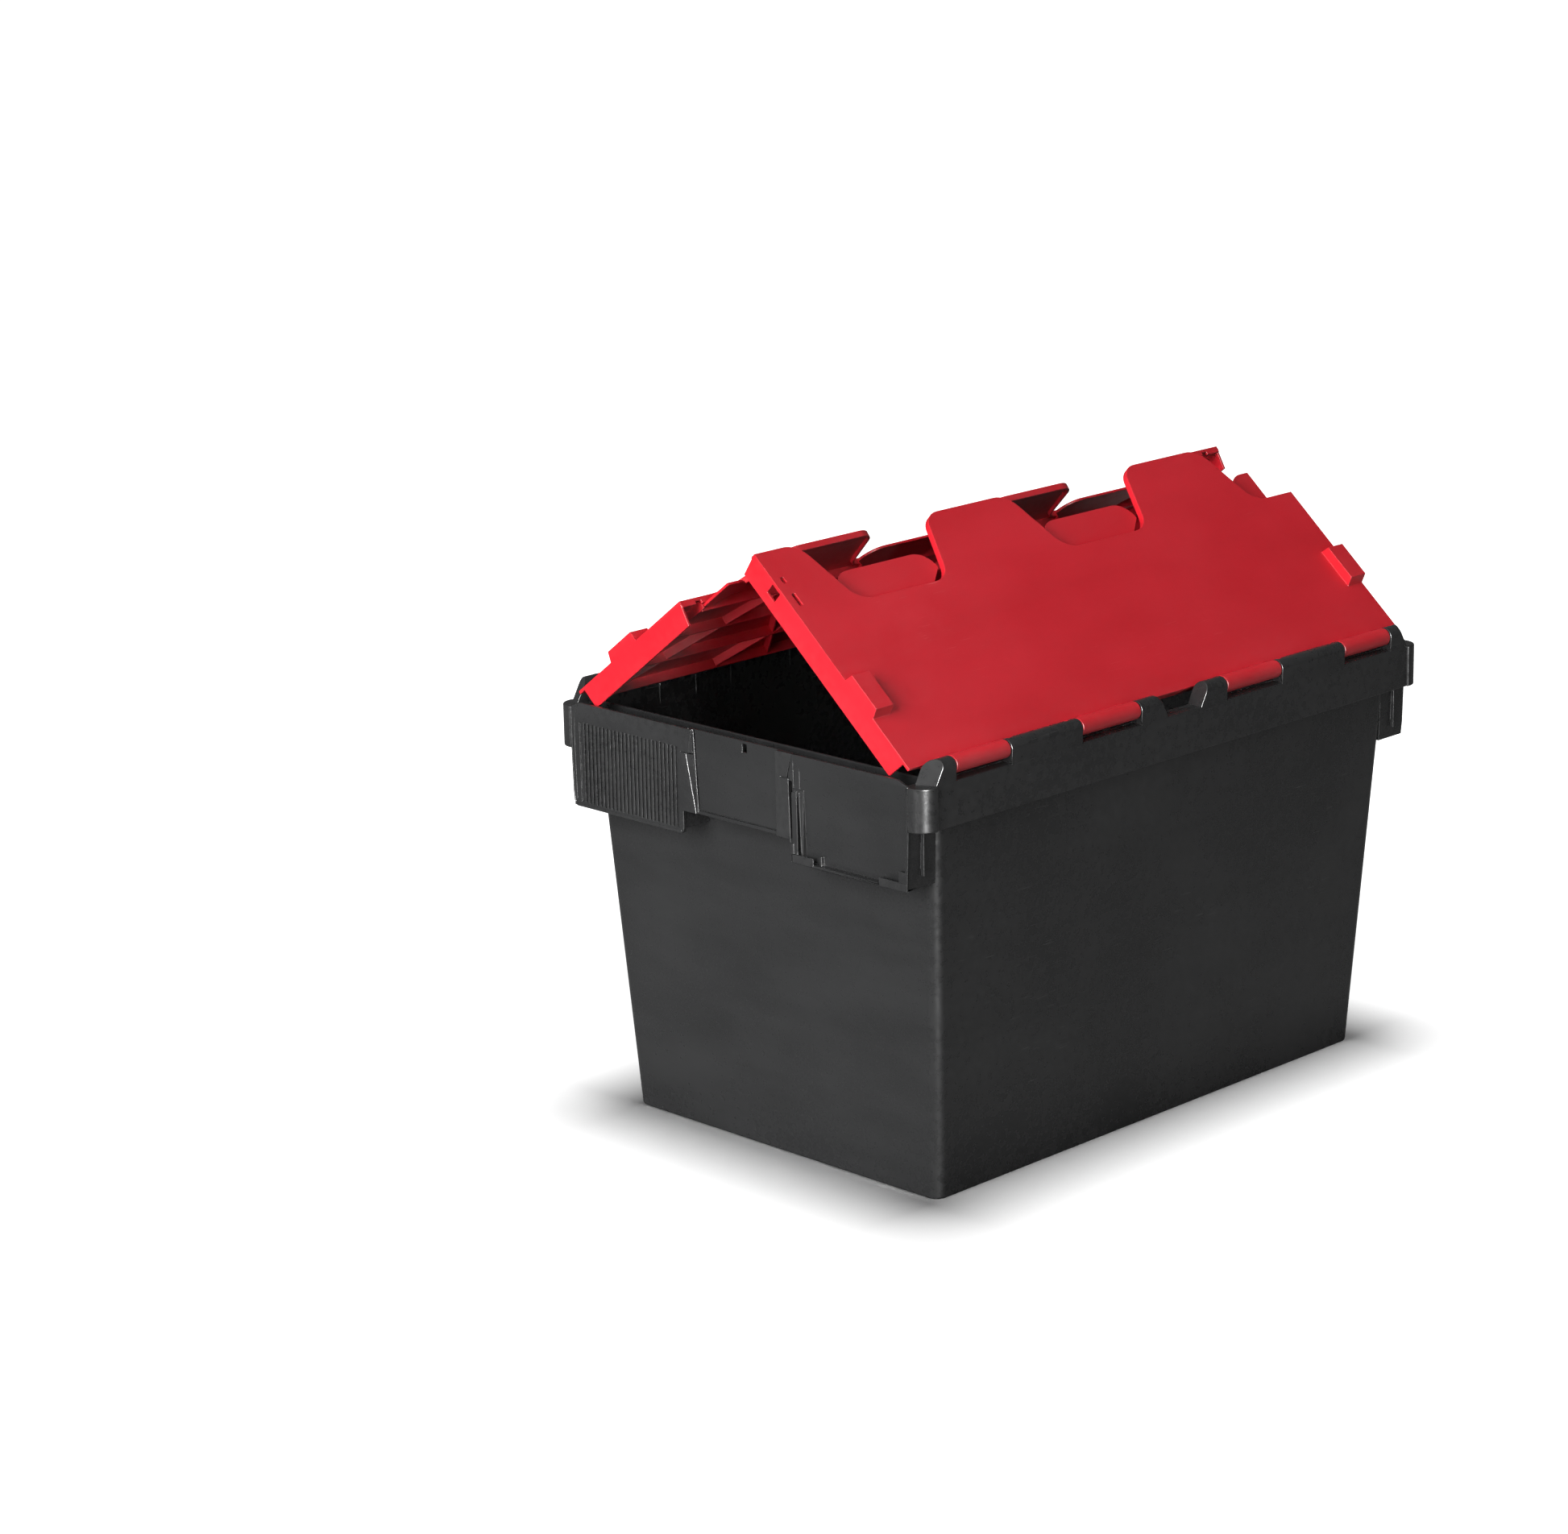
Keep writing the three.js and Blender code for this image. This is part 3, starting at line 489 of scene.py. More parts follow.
def grip_outline():
    """Outline of the grip panel in (y, z), with its two rounded lower corners."""
    left = arc((PANEL_EDGE - 7.7, LIP_BOTTOM + 4.2), 4.2, 0, -math.pi / 2, 5)
    right = arc((STEP_Y + 3.4, LIP_BOTTOM + 3.4), 3.4, -math.pi / 2, -math.pi, 5)
    inner = [(STEP_Y, STEP_Z), (crest_y(STEP_Z), STEP_Z), (crest_y(TICK_Z), TICK_Z),
             (crest_y(TICK_Z + 0.1), TICK_Z), (crest_y(PANEL_TOP), PANEL_TOP)]
    return [(PANEL_EDGE - 1.5, PANEL_TOP)] + left + right + inner


def grip_slope(low, high):
    """The shoulder and drop from the grip panel to the centre panel, between two levels."""
    face = FACE + GRIP_SET_BACK + 0.02
    back = FACE + CENTRE_RECESS + CENTRE_T - 0.1
    foot = FACE + CENTRE_RECESS
    rings = []
    for level, z in ((low, low + 0.1), (high, high - 0.1)):
        crest = crest_y(z)
        knee = (face + KNEE_DEPTH * (foot - face), foot_y(z) + KNEE_REACH * (crest - foot_y(z)), level)
        rings.append([(face, crest + 5, level), (face, crest, level), knee, (foot, foot_y(z), level),
                      (back, foot_y(z), level), (back, crest + 5, level)])
    return loft(rings)


def return_y(z):
    """Outer face of the upright walls beside the end panels; it leans with the moulding's draft."""
    return PANEL_EDGE - 0.1 - 3.1 * (POST_TOP - z) / (POST_TOP - LIP_BOTTOM)


def side_return(side):
    """The upright wall that joins an end panel to the tub."""
    rings = []
    for z in (LIP_BOTTOM + 0.3, POST_TOP - 1):
        ys = (side * return_y(z), side * (return_y(z) - RETURN_T))
        rings.append([(FACE + 0.8, ys[0], z), (WALL_X, ys[0], z), (WALL_X, ys[1], z), (FACE + 0.8, ys[1], z)])
    return loft(rings)


def pocket_pieces():
    """Label pocket: a leaning panel, the strip and stepped guides beside it, and the corner tabs."""
    panel_rings = []
    for z in (POCKET_LOW, PANEL_TOP):
        near, far = pocket_face(z), pocket_face(z) + POCKET_T
        end_y = -return_y(z) + RETURN_T / 2
        panel_rings.append([(near, end_y, z), (near, -62, z), (far, -62, z), (far, end_y, z)])
    panel = loft(panel_rings)
    strip = prism("x", [
        (STRIP_Y[1], STRIP_BOTTOM), (STRIP_Y[1], PANEL_TOP), (-63.0, PANEL_TOP), (-58.0, TICK_Z),
        (-59.6, TICK_Z), (-61.0, STRIP_BOTTOM),
    ], FACE + 0.5, FACE + 5.4)
    steps = [
        box((FACE + 1.2, FACE + 5), (-64.6, -59), (TICK_Z - 2, PANEL_TOP - 1.6)),
        box((FACE + 1.8, FACE + 5), (-71.0, -64), (318.8, PANEL_TOP - 0.2)),
        prism("x", [(-61.9, 315.4), (-67.3, 316.9), (-67.8, LIP_BOTTOM + 2), (-62.4, LIP_BOTTOM + 2)],
              FACE + 1.4, FACE + 7),
        prism("x", [(-69.9, 317.4), (-74.9, 319.0), (-72.8, LIP_BOTTOM + 2), (-71.2, LIP_BOTTOM + 2)],
              FACE + 1.7, FACE + 7),
    ]
    low = LIP_BOTTOM
    ledge = box((FACE + 0.4, FACE + 9.6), (-PANEL_EDGE + 3, -62.6), (low, low + 1.8))
    frame_side = box((FACE + 3.1, FACE + 7.4), (-PANEL_EDGE + 3.2, -PANEL_EDGE + 5.4), (low + 0.4, 309))
    tabs = [
        box((FACE + 0.35, FACE + 2.0), (-84.9, -62.6), (low + 0.2, 267.2)),
        box((FACE + 0.45, FACE + 2.1), (-63.9, -61.4), (low + 0.3, 275.4)),
        box((FACE + 0.35, FACE + 2.0), (-PANEL_EDGE + 3.1, -153.4), (low + 0.2, 266.7)),
        box((FACE + 0.45, FACE + 2.1), (-PANEL_EDGE + 2.6, -173.6), (low + 0.3, 275.4)),
        box((FACE + 3, FACE + 8), (-91.4, -89.3), (low + 0.5, 269.2)),
    ]
    return [panel, strip, ledge, frame_side, *steps, *tabs]


def end_wall_pieces():
    """Grip, slopes, centre panel, its two ledges, the pocket, and the channel floor and webs behind."""
    centre = FACE + CENTRE_RECESS
    face = FACE + GRIP_SET_BACK
    web = END_WEB_T
    return [
        prism("x", grip_outline(), face, FACE + GRIP_T),
        box((FACE + 0.4, FACE + 6), (STEP_Y + 3, PANEL_EDGE - 7), (LIP_BOTTOM - 0.1, LIP_BOTTOM + 2.3)),
        grip_slope(STEP_Z, TICK_Z - 0.4),
        grip_slope(TICK_Z + 0.4, PANEL_TOP),
        box((centre, centre + CENTRE_T), (STRIP_Y[1] - 1, 52), (CENTRE_BOTTOM, PANEL_TOP)),
        box((centre - 1.0, centre + 2), (STRIP_Y[1], 42.5), (LEDGE_BOTTOM, CENTRE_BOTTOM - 0.7)),
        box((centre + 0.9, centre + 2.2), (STRIP_Y[1], 42.5), (LEDGE_BOTTOM + 1, CENTRE_BOTTOM + 1)),
        *pocket_pieces(),
        box((FACE + 2, WALL_X), (50, PANEL_EDGE - 1), (CHANNEL_FLOOR - WALL, CHANNEL_FLOOR)),
        box((FACE + 4.6, WALL_X), (-PANEL_EDGE + 1, 51), (CHANNEL_FLOOR - WALL - 0.1, CHANNEL_FLOOR - 0.1)),
        box((FACE + 1.4, WALL_X), (STEP_Y + 0.8, STEP_Y + 0.8 + web), (PANEL_BOTTOM + 2, CHANNEL_FLOOR - 1)),
        box((centre + 1, WALL_X), (-web / 2, web / 2), (CENTRE_BOTTOM + 2, CHANNEL_FLOOR - 1)),
        box((FACE + 4.4, WALL_X), (-64 - web, -64), (PANEL_BOTTOM, CHANNEL_FLOOR - 1)),
    ]


def tub_end(name):
    """One end of the tub, fused, with its slots, grooves and chamfered corners cut.

    What reaches inwards is trimmed in the middle of the tub's wall."""
    centre = FACE + CENTRE_RECESS
    pieces = end_wall_pieces()
    for side in SIDES:
        pieces.append(side_return(side))
        pieces.append(box((FACE + 15.4, FACE + 17.0), (side * (PANEL_EDGE - 2.6), side * (PANEL_EDGE + 0.6)),
                          (PANEL_BOTTOM + 8, BAND_BOTTOM + 1)))
        pieces.append(box((FACE + 1.2, WALL_X), (side * (PANEL_EDGE - 0.4), side * (PANEL_EDGE - 6)),
                          (POST_TOP - WALL - 0.2, POST_TOP - 0.2)))
    cutters = [
        box((centre - 2, centre + CENTRE_T + 2), SEAL_SLOT_Y, SEAL_SLOT_Z),
        box((FACE - 1, FACE + GRIP_SET_BACK + GROOVE_DEPTH), GRIP_RIB_Y, GRIP_RIB_Z),
        box((FACE - 1, FACE + GRIP_SET_BACK + 0.9), (47, GRIP_RIB_Y[0] - 2), (TICK_Z - 0.4, TICK_Z + 0.4)),
        box((FACE - 1, FACE + 1.6), (-60.5, -51.4), (TICK_Z - 0.5, TICK_Z + 0.3)),
        loft([tub_ring(level, WALL / 2) for level in (PANEL_BOTTOM - 10, PANEL_TOP + 5)]),
    ]
    for side in SIDES:
        outline = [(PANEL_EDGE + 1, POST_TOP), (PANEL_EDGE - 1, POST_TOP),
                   (PANEL_EDGE - 12, PANEL_TOP + 0.1), (PANEL_EDGE + 1, PANEL_TOP + 0.1)]
        cutters.append(prism("x", [(side * y, z) for y, z in outline], FACE - 1, FACE + 10))
    return finished(name, pieces, cutters, rounding=END_ROUND)


def bead(path, radius, x=None):
    """A half-round ridge along a path of (y, z) points on an end panel's face."""
    crest = (FACE + 0.03 if x is None else x) + radius
    rings = []
    for i, (y, z) in enumerate(path):
        before, after = Vector(path[max(i - 1, 0)]), Vector(path[min(i + 1, len(path) - 1)])
        along = (after - before).normalized()
        across = Vector((-along.y, along.x))
        ring = []
        for u, v in arc((0, 0), radius, 0, 2 * math.pi * 11 / 12, 11):
            ring.append((crest - v, y + across.x * u, z + across.y * u))
        rings.append(ring)
    return loft(rings)


def end_beads(name):
    """Fine raised edges of the end panels."""
    corner = arc((PANEL_EDGE - 7.7, LIP_BOTTOM + 4.4), 3.8, 0, -math.pi / 2, 6)
    step_corner = arc((STEP_Y + 3.6, LIP_BOTTOM + 4.0), 3.4, -math.pi / 2, -math.pi, 6)
    outer = [(183.2, 341.2), (182.9, 311.3), (181.8, 272.5)] + corner + step_corner + [(STEP_Y + 0.2, STEP_Z)]
    beads = [
        bead(outer, 0.65),
        bead([(174.6, 344.3), (178.0, 336.0), (179.2, 332.0), (179.6, 311.9), (178.4, 266.5)], 0.6),
        bead([(52.0, 325.2), (42.1, STEP_Z + 0.6)], 0.65),
        bead([(46.6, 344.3), (48.8, 327.2)], 0.5),
        bead([(45.4, PANEL_TOP - 0.3), (foot_y(300) - 0.3, 300), (41.4, STEP_Z + 2)], 0.75, FACE + 1.9),
        bead([(-62.7, 344.0), (-58.2, TICK_Z + 0.8)], 0.45, FACE + 0.3),
        bead([(-59.5, TICK_Z - 1), (-61.0, 276.2)], 0.6),
        bead([(-63.6, 275.2), (-63.8, 267.4)], 0.4, FACE + 0.3),
        bead([(-64.3, 343.8), (-64.7, 319.5)], 0.55, FACE + 0.8),
        bead([(-70.7, PANEL_TOP - 0.4), (-70.6, 319.5)], 0.6, FACE + 1.2),
        bead([(-67.1, 314.5), (-67.5, 269.4)], 0.5, FACE + 1.1),
        bead([(-70.1, 316.5), (-71.5, 269.6)], 0.5, FACE + 1.3),
        bead([(-74.6, 318.4), (-72.6, 269.6)], 0.55, FACE + 1.4),
        bead([(-63.2, LIP_BOTTOM + 0.5), (-PANEL_EDGE + 3.8, LIP_BOTTOM + 0.3)], 0.45, FACE + 0.2),
        bead([(-PANEL_EDGE + 1.0, 307), (-PANEL_EDGE + 3.0, LIP_BOTTOM + 0.4)], 0.65, FACE + 0.1),
    ]
    return finished(name, beads, rounding=0, fuse=False)


def grip_ribs(name):
    """The fine upright ribs of the hand grip."""
    pitch = (GRIP_RIB_Y[1] - GRIP_RIB_Y[0]) / (GRIP_RIBS - 1)
    base = FACE + GRIP_SET_BACK + GROOVE_DEPTH + 0.3
    crest = FACE + GRIP_SET_BACK - 0.15
    root_half, crest_half = GRIP_RIB_HALF
    ribs = []
    for i in range(1, GRIP_RIBS - 1):
        y = GRIP_RIB_Y[0] + i * pitch
        outline = [(base, y - root_half), (crest, y - crest_half), (crest, y + crest_half),
                   (base, y + root_half)]
        ribs.append(prism("z", outline, GRIP_RIB_Z[0] - 0.5, GRIP_RIB_Z[1] + 0.5))
    return finished(name, ribs, rounding=0.2, fuse=False)


# ---- lid ----------------------------------------------------------------------------------------


def toothed_edge(inset, steps=9):
    """The lid's edge of tabs and notches, from +X to -X, moved inwards by inset."""
    lean = math.pi / 2 - FLANK_ANGLE
    rise = TAB_TIP - NOTCH_BACK - 2 * TOOTH_R * (1 - math.cos(FLANK_ANGLE))
    corner_x = rise / math.tan(FLANK_ANGLE) / 2 + TOOTH_R * math.sin(FLANK_ANGLE)
    convex, concave = TOOTH_R - inset, TOOTH_R + inset
    tip_y, back_y = TAB_TIP - TOOTH_R, NOTCH_BACK + TOOTH_R
    points = [(LID_HALF_L - inset, NOTCH_BACK - inset)]
    for flank in (2, 1, 0, -1, -2):
        if flank % 2 == 0:
            x = flank * TOOTH_PITCH - FLANK_GAP
            points += arc((x + corner_x, back_y), concave, 1.5 * math.pi, math.pi + lean, steps)
            points += arc((x - corner_x, tip_y), convex, lean, math.pi / 2, steps)
        else:
            x = flank * TOOTH_PITCH + FLANK_GAP
            points += arc((x + corner_x, tip_y), convex, math.pi / 2, math.pi - lean, steps)
            points += arc((x - corner_x, back_y), concave, -lean, -math.pi / 2, steps)
    points.append((-LID_HALF_L + inset, TAB_TIP - inset))
    return points


NOTCHES = ((-2 * TOOTH_PITCH, -TOOTH_PITCH), (0, TOOTH_PITCH), (2 * TOOTH_PITCH, END_PAD_EDGE))


def pad_outline(x0, x1):
    """Plan of a notch's recessed pad: a tongue that widens with the flanks, far corners rounded."""
    open_end = x1 == END_PAD_EDGE
    lean = math.tan(math.pi / 2 - FLANK_ANGLE)
    middle_y = (TAB_TIP + NOTCH_BACK) / 2
    near, far = NOTCH_BACK - RIM_T - 2.4, PAD_REACH
    root = PAD_ROOT

    def flank(y):
        return (y - middle_y) * lean - PAD_GAP - FLANK_GAP

    left = [(x0 + root, near), (x0 + root - 3.0, NOTCH_BACK + 3.0)]
    left += arc((x0 + PAD_CORNER - flank(far - 10) - 0.4, far - PAD_CORNER), PAD_CORNER, math.pi,
                math.pi / 2, 8)
    if open_end:
        return [(x1, near)] + left + [(x1, far)]
    right = arc((x1 - PAD_CORNER + flank(far - 10) + 0.4, far - PAD_CORNER), PAD_CORNER, math.pi / 2, 0, 8)
    return left + right + [(x1 - root + 3.0, NOTCH_BACK + 3.0), (x1 - root, near)]


def lid_shell(name):
    """Plate, rim of the toothed edge, pads, end skirts and hollow stacking blocks."""
    plate = prism("z", [(-LID_HALF_L, HINGE_EDGE), (LID_HALF_L, HINGE_EDGE)] + toothed_edge(0),
                  PLATE_BOTTOM, PLATE_TOP)
    rim = ribbon(toothed_edge(0), toothed_edge(RIM_T), RIM_BOTTOM, PLATE_BOTTOM + 0.5)
    pieces = [plate, rim]
    for x0, x1 in NOTCHES:
        pieces.append(prism("z", pad_outline(x0, x1), PAD_BOTTOM, PAD_TOP))
        wall_end = x1 - 1.2 if x1 == END_PAD_EDGE else x1 - PAD_WALL
        pieces.append(box((x0 + PAD_WALL, wall_end), (NOTCH_BACK - RIM_T - 1.2, NOTCH_BACK - 1.1),
                          (PAD_BOTTOM + 1.1, PLATE_BOTTOM + 1.0)))
    for side, tip in ((-1, TAB_TIP), (1, NOTCH_BACK)):
        bottom = PLATE_TOP - SKIRT_DEPTH
        profile = [(SKIRT_START[0], PLATE_TOP - 0.5), (SKIRT_START[1], bottom), (tip - SKIRT_SLANT, bottom),
                   (tip, PLATE_TOP - 0.5)]
        pieces.append(prism("x", profile, *sorted((side * (LID_HALF_L - SKIRT_T), side * LID_HALF_L))))
        pieces.append(stacking_block(side))
    cutters = [stacking_block(side, SKIRT_T) for side in SIDES]
    for side in SIDES:
        cutters.append(box([side * x for x in LIP_CLEARANCE], (150, TAB_TIP + 5),
                           (RIM_BOTTOM - 1, PLATE_BOTTOM - 0.2)))
    cutters.append(box((-LID_HALF_L - 1, -LID_HALF_L + SKIRT_T + 1), SEAL_EYE_Y, SEAL_EYE_Z))
    for ys in LID_SLOTS_Y:
        cutters.append(box(LID_SLOT_X, ys, (PLATE_TOP - 10, PLATE_TOP + 1)))
    return finished(name, pieces, cutters, rounding=LID_ROUND, segments=3)


def stacking_block(side, grow=0.0):
    """A stacking block's solid at one end of the lid, or its hollow, smaller by grow."""
    top = PLATE_TOP + BLOCK_H - grow
    profile = [
        (BLOCK_Y[0] + grow, PLATE_BOTTOM - grow), (BLOCK_Y[1] - grow, PLATE_BOTTOM - grow),
        (BLOCK_TOP_Y[1] - grow, top), (BLOCK_TOP_Y[0] + grow, top),
    ]
    ends = (side * (LID_HALF_L - grow), side * (LID_HALF_L - BLOCK_W + grow))
    return prism("x", profile, *sorted(ends))


def straight_rib(start, end, depth):
    """A rib under the plate between two points in plan."""
    (x0, y0), (x1, y1) = start, end
    run = math.hypot(x1 - x0, y1 - y0)
    nx, ny = -(y1 - y0) / run * RIB_T / 2, (x1 - x0) / run * RIB_T / 2
    plan = [(x0 + nx, y0 + ny), (x0 - nx, y0 - ny), (x1 - nx, y1 - ny), (x1 + nx, y1 + ny)]
    return prism("z", plan, PLATE_BOTTOM - depth, PLATE_BOTTOM + 0.5)


def lid_ribs(name):
    """Rib frame, rows along the hinge and zigzag diagonals."""
    last = RIB_ROWS[-1]
    fx = RIB_FRAME_X
    lines = [((-fx - 0.9, RIB_FRAME_Y), (fx + 0.9, RIB_FRAME_Y))]
    lines += [((-fx, y), (fx, y)) for y in RIB_ROWS]
    lines += [((-22, RIB_FRAME_Y), (-14.6, 26.8)), ((-15.5, 26), (15.5, 26)),
              ((14.6, 26.8), (22, RIB_FRAME_Y))]
    for side in SIDES:
        lines.append(((side * fx, RIB_FRAME_Y), (side * fx, last + 4)))
        lines.append(((side * fx, RIB_FRAME_Y), (side * 180, last)))
        lines.append(((side * 180, last), (side * 90, RIB_FRAME_Y)))
        lines.append(((side * 150, RIB_FRAME_Y), (side * 60, last)))
        lines.append(((side * 60, last), (0, RIB_ROWS[0])))
    ribs = [straight_rib(start, end, RIB_DEPTH - 0.1 * i) for i, (start, end) in enumerate(lines)]
    return finished(name, ribs, rounding=0.3, fuse=False)


def lid_knuckle(side, span):
    """The solid of one lid knuckle, and the two pockets and the bore to take from it."""
    x0, x1 = span
    crown = arc((0, 0), LID_KNUCKLE_R, math.radians(-36), math.radians(270), 30)
    section = crown + [(2, PLATE_BOTTOM), (HINGE_EDGE + 3, PLATE_BOTTOM),
                       (HINGE_EDGE + 3, PLATE_TOP + 0.2), (9.6, PLATE_TOP + 1.4), (8.6, PLATE_TOP + 3.6),
                       (7.2, PLATE_TOP + 4.0)]
    solid = prism("x", section, *sorted((side * x0, side * x1)))
    middle = (x0 + x1) / 2
    cutters = [bore(side * (x0 - 1), side * (x1 + 1), LID_BORE_R)]
    for a, b in ((x0 + 3, middle - 1.2), (middle + 1.2, x1 - 3)):
        cutters.append(box((side * a, side * b), (-3.6, 4.4), (-20, -3.6)))
    return solid, cutters


def lid_knuckles(name):
    solids, cutters = [], []
    for side in SIDES:
        for span in (INNER_LID_KNUCKLE, OUTER_LID_KNUCKLE):
            solid, cuts = lid_knuckle(side, span)
            solids.append(solid)
            cutters += cuts
    return finished(name, solids, cutters, rounding=0.5)


# ---- materials ----------------------------------------------------------------------------------


class Nodes:
    """Short calls for building one material's node tree."""

    def __init__(self, name):
        self.material = bpy.data.materials.new(name)
        self.material.use_nodes = True
        self.tree = self.material.node_tree
        self.shader = self.tree.nodes["Principled BSDF"]
        self.place = self.add("ShaderNodeTexCoord").outputs["Object"]

    def add(self, kind, **settings):
        node = self.tree.nodes.new(kind)
        for key, value in settings.items():
            setattr(node, key, value)
        return node

    def link(self, source, target):
        self.tree.links.new(source, target)

    def scaled(self, scale, rotation=(0, 0, 0)):
        node = self.add("ShaderNodeMapping")
        node.inputs["Scale"].default_value = scale
        node.inputs["Rotation"].default_value = rotation
        self.link(self.place, node.inputs["Vector"])
        return node.outputs["Vector"]

    def noise(self, scale, detail=3.0, roughness=0.55, vector=None):
        node = self.add("ShaderNodeTexNoise")
        node.inputs["Scale"].default_value = scale
        node.inputs["Detail"].default_value = detail
        node.inputs["Roughness"].default_value = roughness
        self.link(vector or self.place, node.inputs["Vector"])
        return node.outputs["Fac"]

    def ramp(self, value, low, high, start=0.0, end=1.0):
        """Maps a value between low and high onto start to end, clamped."""
        node = self.add("ShaderNodeMapRange")
        for key, number in (("From Min", low), ("From Max", high), ("To Min", start), ("To Max", end)):
            node.inputs[key].default_value = number
        self.link(value, node.inputs["Value"])
        return node.outputs["Result"]

    def sum(self, a, b):
        return self.math("ADD", a, b)

    def math(self, operation, a, b):
        node = self.add("ShaderNodeMath", operation=operation)
        for socket, value in zip(node.inputs, (a, b)):
            if isinstance(value, (int, float)):
                socket.default_value = value
            else:
                self.link(value, socket)
        return node.outputs[0]

    def mix(self, amount, a, b):
        """Blends two colours; each is a socket or an (r, g, b)."""
        node = self.add("ShaderNodeMix", data_type="RGBA")
        self.link(amount, node.inputs["Factor"])
        for socket, value in ((node.inputs[6], a), (node.inputs[7], b)):
            if isinstance(value, tuple):
                socket.default_value = (*value, 1.0)
            else:
                self.link(value, socket)
        return node.outputs[2]

    def bump(self, height, distance, normal=None):
        node = self.add("ShaderNodeBump")
        node.inputs["Strength"].default_value = 1.0
        node.inputs["Distance"].default_value = distance
        self.link(height, node.inputs["Height"])
        if normal:
            self.link(normal, node.inputs["Normal"])
        return node.outputs["Normal"]

    def finish(self, colour, roughness, normal):
        self.link(colour, self.shader.inputs["Base Color"])
        self.link(roughness, self.shader.inputs["Roughness"])
        self.link(normal, self.shader.inputs["Normal"])
        return self.material


def scratches(nodes, seed_angle, density):
    """A mask of fine, long, broken scratches in one direction."""
    along = nodes.scaled((40, 1400, 900), (seed_angle, seed_angle * 0.7, seed_angle * 1.3))
    streaks = nodes.ramp(nodes.noise(1.0, 2.0, 0.5, along), 0.70 - density, 0.76 - density)
    patches = nodes.ramp(nodes.noise(9.0, 2.0), 0.52, 0.66)
    return nodes.math("MULTIPLY", streaks, patches)


def moulded_plastic(name, colour, light, worn, roughness, specular):
    """Moulded polypropylene with a fine matte grain, faint mottling, scuffs and rubbed edges."""
    nodes = Nodes(name)
    broad = nodes.noise(7.0, 3.0)
    mottle = nodes.noise(160.0, 4.0)
    grain = nodes.noise(2100.0, 2.0, 0.6)
    flow = nodes.noise(1.0, 3.0, 0.5, nodes.scaled((9, 9, 34)))
    edge = nodes.add("ShaderNodeNewGeometry").outputs["Pointiness"]
    rubbed = nodes.math("MULTIPLY", nodes.ramp(edge, 0.515, 0.56), nodes.ramp(mottle, 0.35, 0.65, 0.2, 1.0))
    scuffs = nodes.math("MAXIMUM", scratches(nodes, 0.5, 0.0), scratches(nodes, 1.9, 0.01))
    tone = nodes.ramp(nodes.sum(broad, flow), 0.75, 1.25)
    base = nodes.mix(tone, colour, light)
    base = nodes.mix(nodes.math("MULTIPLY", rubbed, 0.06), base, worn)
    base = nodes.mix(nodes.math("MULTIPLY", scuffs, 0.30), base, worn)
    gloss = nodes.sum(nodes.ramp(mottle, 0.3, 0.7, -0.035, 0.035),
                      nodes.ramp(broad, 0.3, 0.7, roughness - 0.04, roughness + 0.04))
    gloss = nodes.sum(gloss, nodes.math("MULTIPLY", scuffs, 0.12))
    normal = nodes.bump(grain, 0.00004)
    normal = nodes.bump(flow, 0.00012, normal)
    nodes.shader.inputs["Specular IOR Level"].default_value = specular
    nodes.shader.inputs["IOR"].default_value = 1.49
    return nodes.finish(base, gloss, normal)


def drawn_steel(name):
    nodes = Nodes(name)
    lines = nodes.noise(1.0, 3.0, 0.5, nodes.scaled((60, 4000, 4000)))
    stain = nodes.noise(220.0, 4.0)
    base = nodes.mix(nodes.ramp(stain, 0.4, 0.7), (0.42, 0.42, 0.43), (0.30, 0.29, 0.28))
    nodes.shader.inputs["Metallic"].default_value = 1.0
    return nodes.finish(base, nodes.ramp(lines, 0.3, 0.7, 0.25, 0.42), nodes.bump(lines, 0.00002))


def floor_white(name):
    """White floor that takes the object's shadow and turns plain white away from it."""
    nodes = Nodes(name)
    grain = nodes.noise(40.0, 3.0)
    seen = nodes.add("ShaderNodeLightPath").outputs["Is Camera Ray"]
    tone = nodes.ramp(seen, 0.0, 1.0, FLOOR_BOUNCE, FLOOR_SEEN)
    base = nodes.mix(tone, (0.0, 0.0, 0.0), (1.0, 1.0, 1.0))
    distance = nodes.add("ShaderNodeVectorMath", operation="LENGTH")
    nodes.link(nodes.place, distance.inputs[0])
    glow = nodes.ramp(distance.outputs["Value"], *FLOOR_FADE, FLOOR_GLOW, 1.0)
    nodes.shader.inputs["Emission Color"].default_value = (1, 1, 1, 1)
    nodes.link(nodes.math("MULTIPLY", glow, seen), nodes.shader.inputs["Emission Strength"])
    nodes.shader.inputs["Specular IOR Level"].default_value = 0.0
    return nodes.finish(base, nodes.ramp(grain, 0.3, 0.7, 0.7, 0.75), nodes.bump(grain, 0.0001))


FLOOR_BOUNCE = 0.25                             # share of light the floor gives back to the object
FLOOR_SEEN = 0.94
FLOOR_GLOW = 0.06                               # its own light near the object
FLOOR_FADE = (0.40, 1.2)                        # metres from the middle over which that turns white
TUB_PLASTIC = moulded_plastic("tub_plastic", (0.0148, 0.0150, 0.0153), (0.0196, 0.0198, 0.0202),
                              (0.10, 0.10, 0.10), 0.28, 0.34)
LID_PLASTIC = moulded_plastic("lid_plastic", (0.47, 0.008, 0.016), (0.52, 0.011, 0.021),
                              (0.70, 0.12, 0.13), 0.42, 0.22)
ROD_STEEL = drawn_steel("rod_steel")

# ---- assembly -----------------------------------------------------------------------------------

HALF_TURN = Matrix.Rotation(math.pi, 4, "Z")


def settle(obj, body, material, node, placement=None):
    """Gives a finished object its material and place, ties it to its body and hides the CAD node it stands in
    for.
    """
    obj.data.materials.clear()
    obj.data.materials.append(material)
    if placement is not None:
        obj.data.transform(placement)
    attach(obj, body)
    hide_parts(node)
    return obj


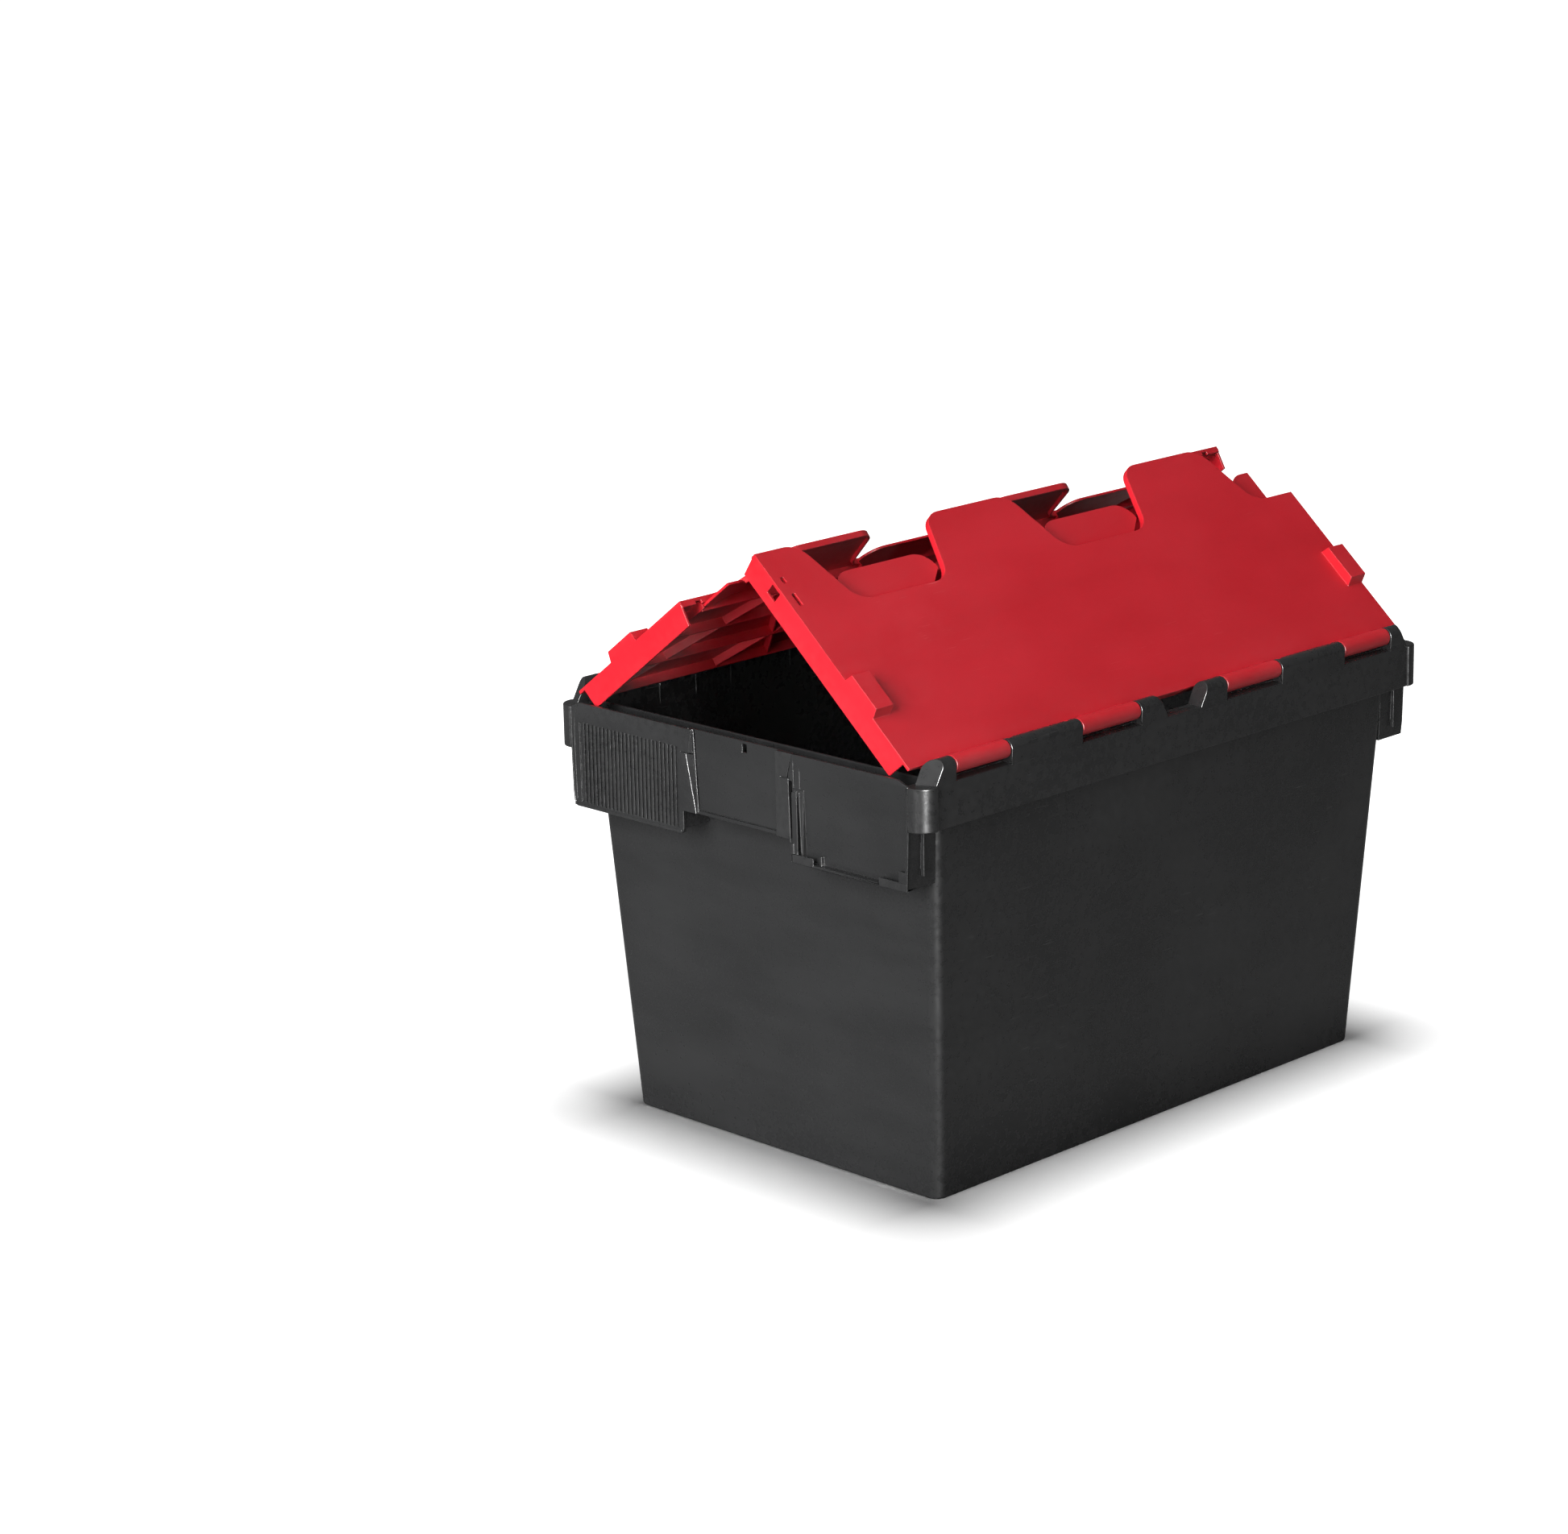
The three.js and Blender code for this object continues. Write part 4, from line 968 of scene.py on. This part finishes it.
def tub_piece(obj, placement=None):
    return settle(obj, "tub", TUB_PLASTIC, "tub", placement)


walls = tub_piece(tub_body())
tub_piece(tub_foot_ribs())
for where, turn in (("front", Matrix.Identity(4)), ("back", HALF_TURN)):
    end = {"front": "left", "back": "right"}[where]
    tub_piece(tub_long_side(f"tub_rim_{where}"), turn)
    tub_piece(tub_end(f"tub_end_{end}"), turn)
    tub_piece(grip_ribs(f"tub_grip_{end}"), turn)
    tub_piece(end_beads(f"tub_edges_{end}"), turn)
    tub_piece(corner_post(f"tub_post_{where}_a"), turn)
    post = corner_post(f"tub_post_{where}_b")
    post.data.transform(Matrix.Scale(-1, 4, (0, 1, 0)))
    post.data.flip_normals()
    tub_piece(post, turn)

    hinge = Matrix.Translation((0, -AXIS_Y * MM, AXIS_Z * MM))
    tilt = Matrix.Rotation(math.radians(REST_ANGLE[where]), 4, "X")
    body = f"lid_{where}"
    for obj in (lid_shell(f"{body}_shell"), lid_ribs(f"{body}_ribs"), lid_knuckles(f"{body}_knuckles")):
        settle(obj, body, LID_PLASTIC, body, turn @ hinge @ tilt)

for name, node in frame["nodes"].items():
    if name.startswith("hinge_rod"):
        node.data.materials.clear()
        node.data.materials.append(ROD_STEEL)

# ---- studio -------------------------------------------------------------------------------------

CAMERA_PLACE = (-2.500, -2.282, 1.194)
CAMERA_YAW = math.radians(44.606)               # from +Y towards +X
CAMERA_PITCH = math.radians(15.261)             # downwards
CAMERA_ROLL = math.radians(-1.244)
CAMERA_LENS = 98.85
CAMERA_SHIFT = (0.0030, -0.0047)


def add_camera():
    data = bpy.data.cameras.new("camera")
    data.sensor_width = 36.0
    data.lens = CAMERA_LENS
    data.shift_x, data.shift_y = CAMERA_SHIFT
    camera = bpy.data.objects.new("camera", data)
    turn = Matrix.Rotation(-CAMERA_YAW, 4, "Z") @ Matrix.Rotation(math.pi / 2 - CAMERA_PITCH, 4, "X")
    camera.matrix_world = Matrix.Translation(CAMERA_PLACE) @ turn @ Matrix.Rotation(CAMERA_ROLL, 4, "Z")
    bpy.context.scene.collection.objects.link(camera)
    bpy.context.scene.camera = camera


def add_softbox(name, place, size, power):
    data = bpy.data.lights.new(name, "AREA")
    data.shape = "RECTANGLE"
    data.size, data.size_y = size
    data.energy = power
    light = bpy.data.objects.new(name, data)
    light.location = place
    aim = AIM - Vector(place)
    light.rotation_mode = "QUATERNION"
    light.rotation_quaternion = aim.to_track_quat("-Z", "Y")
    bpy.context.scene.collection.objects.link(light)
    return light


def linked(name, obj, state):
    """A collection that a light includes or excludes."""
    group = bpy.data.collections.new(name)
    group.objects.link(obj)
    group.collection_objects[0].light_linking.link_state = state
    return group


def add_floor():
    mesh = bmesh.new()
    bmesh.ops.create_circle(mesh, cap_ends=True, radius=14, segments=96)
    floor = as_object("floor", mesh)
    floor.data.materials.append(floor_white("floor_white"))
    return floor


def set_world():
    """White to look at, and a dimmer white as the light it gives."""
    world = bpy.data.worlds.new("studio")
    world.use_nodes = True
    tree = world.node_tree
    background = tree.nodes["Background"]
    background.inputs["Color"].default_value = (1, 1, 1, 1)
    seen = tree.nodes.new("ShaderNodeLightPath").outputs["Is Camera Ray"]
    strength = tree.nodes.new("ShaderNodeMapRange")
    strength.inputs["To Min"].default_value = 0.12
    strength.inputs["To Max"].default_value = 1.0
    tree.links.new(seen, strength.inputs["Value"])
    tree.links.new(strength.outputs["Result"], background.inputs["Strength"])
    bpy.context.scene.world = world


# The key, low and top lights shape the tote. The rim light only gives the narrow highlights. The
# overhead light is for the floor alone, where only the walls of the tub shade it.
AIM = Vector((0, 0, 0.22))
add_camera()
key = add_softbox("key", (-5.2, -0.6, 2.3), (4.4, 3.4), 630)
low = add_softbox("low", (-3.2, -0.7, 0.25), (1.2, 0.4), 34)
top = add_softbox("top", (-0.4, -0.5, 3.4), (3.0, 2.4), 34)
rim = add_softbox("rim", (-1.6, -3.0, 1.0), (0.3, 1.8), 1300)
overhead = add_softbox("overhead", (0.0, 0.0, 3.4), (0.8, 0.8), 120)
key.visible_glossy = False
rim.visible_diffuse = False
floor = add_floor()
for light in (key, low, top, rim):
    light.light_linking.receiver_collection = linked(f"{light.name}_receivers", floor, "EXCLUDE")
overhead.light_linking.receiver_collection = linked("overhead_receivers", floor, "INCLUDE")
overhead.light_linking.blocker_collection = linked("overhead_blockers", walls, "INCLUDE")
set_world()
bpy.context.scene.view_settings.view_transform = "Standard"
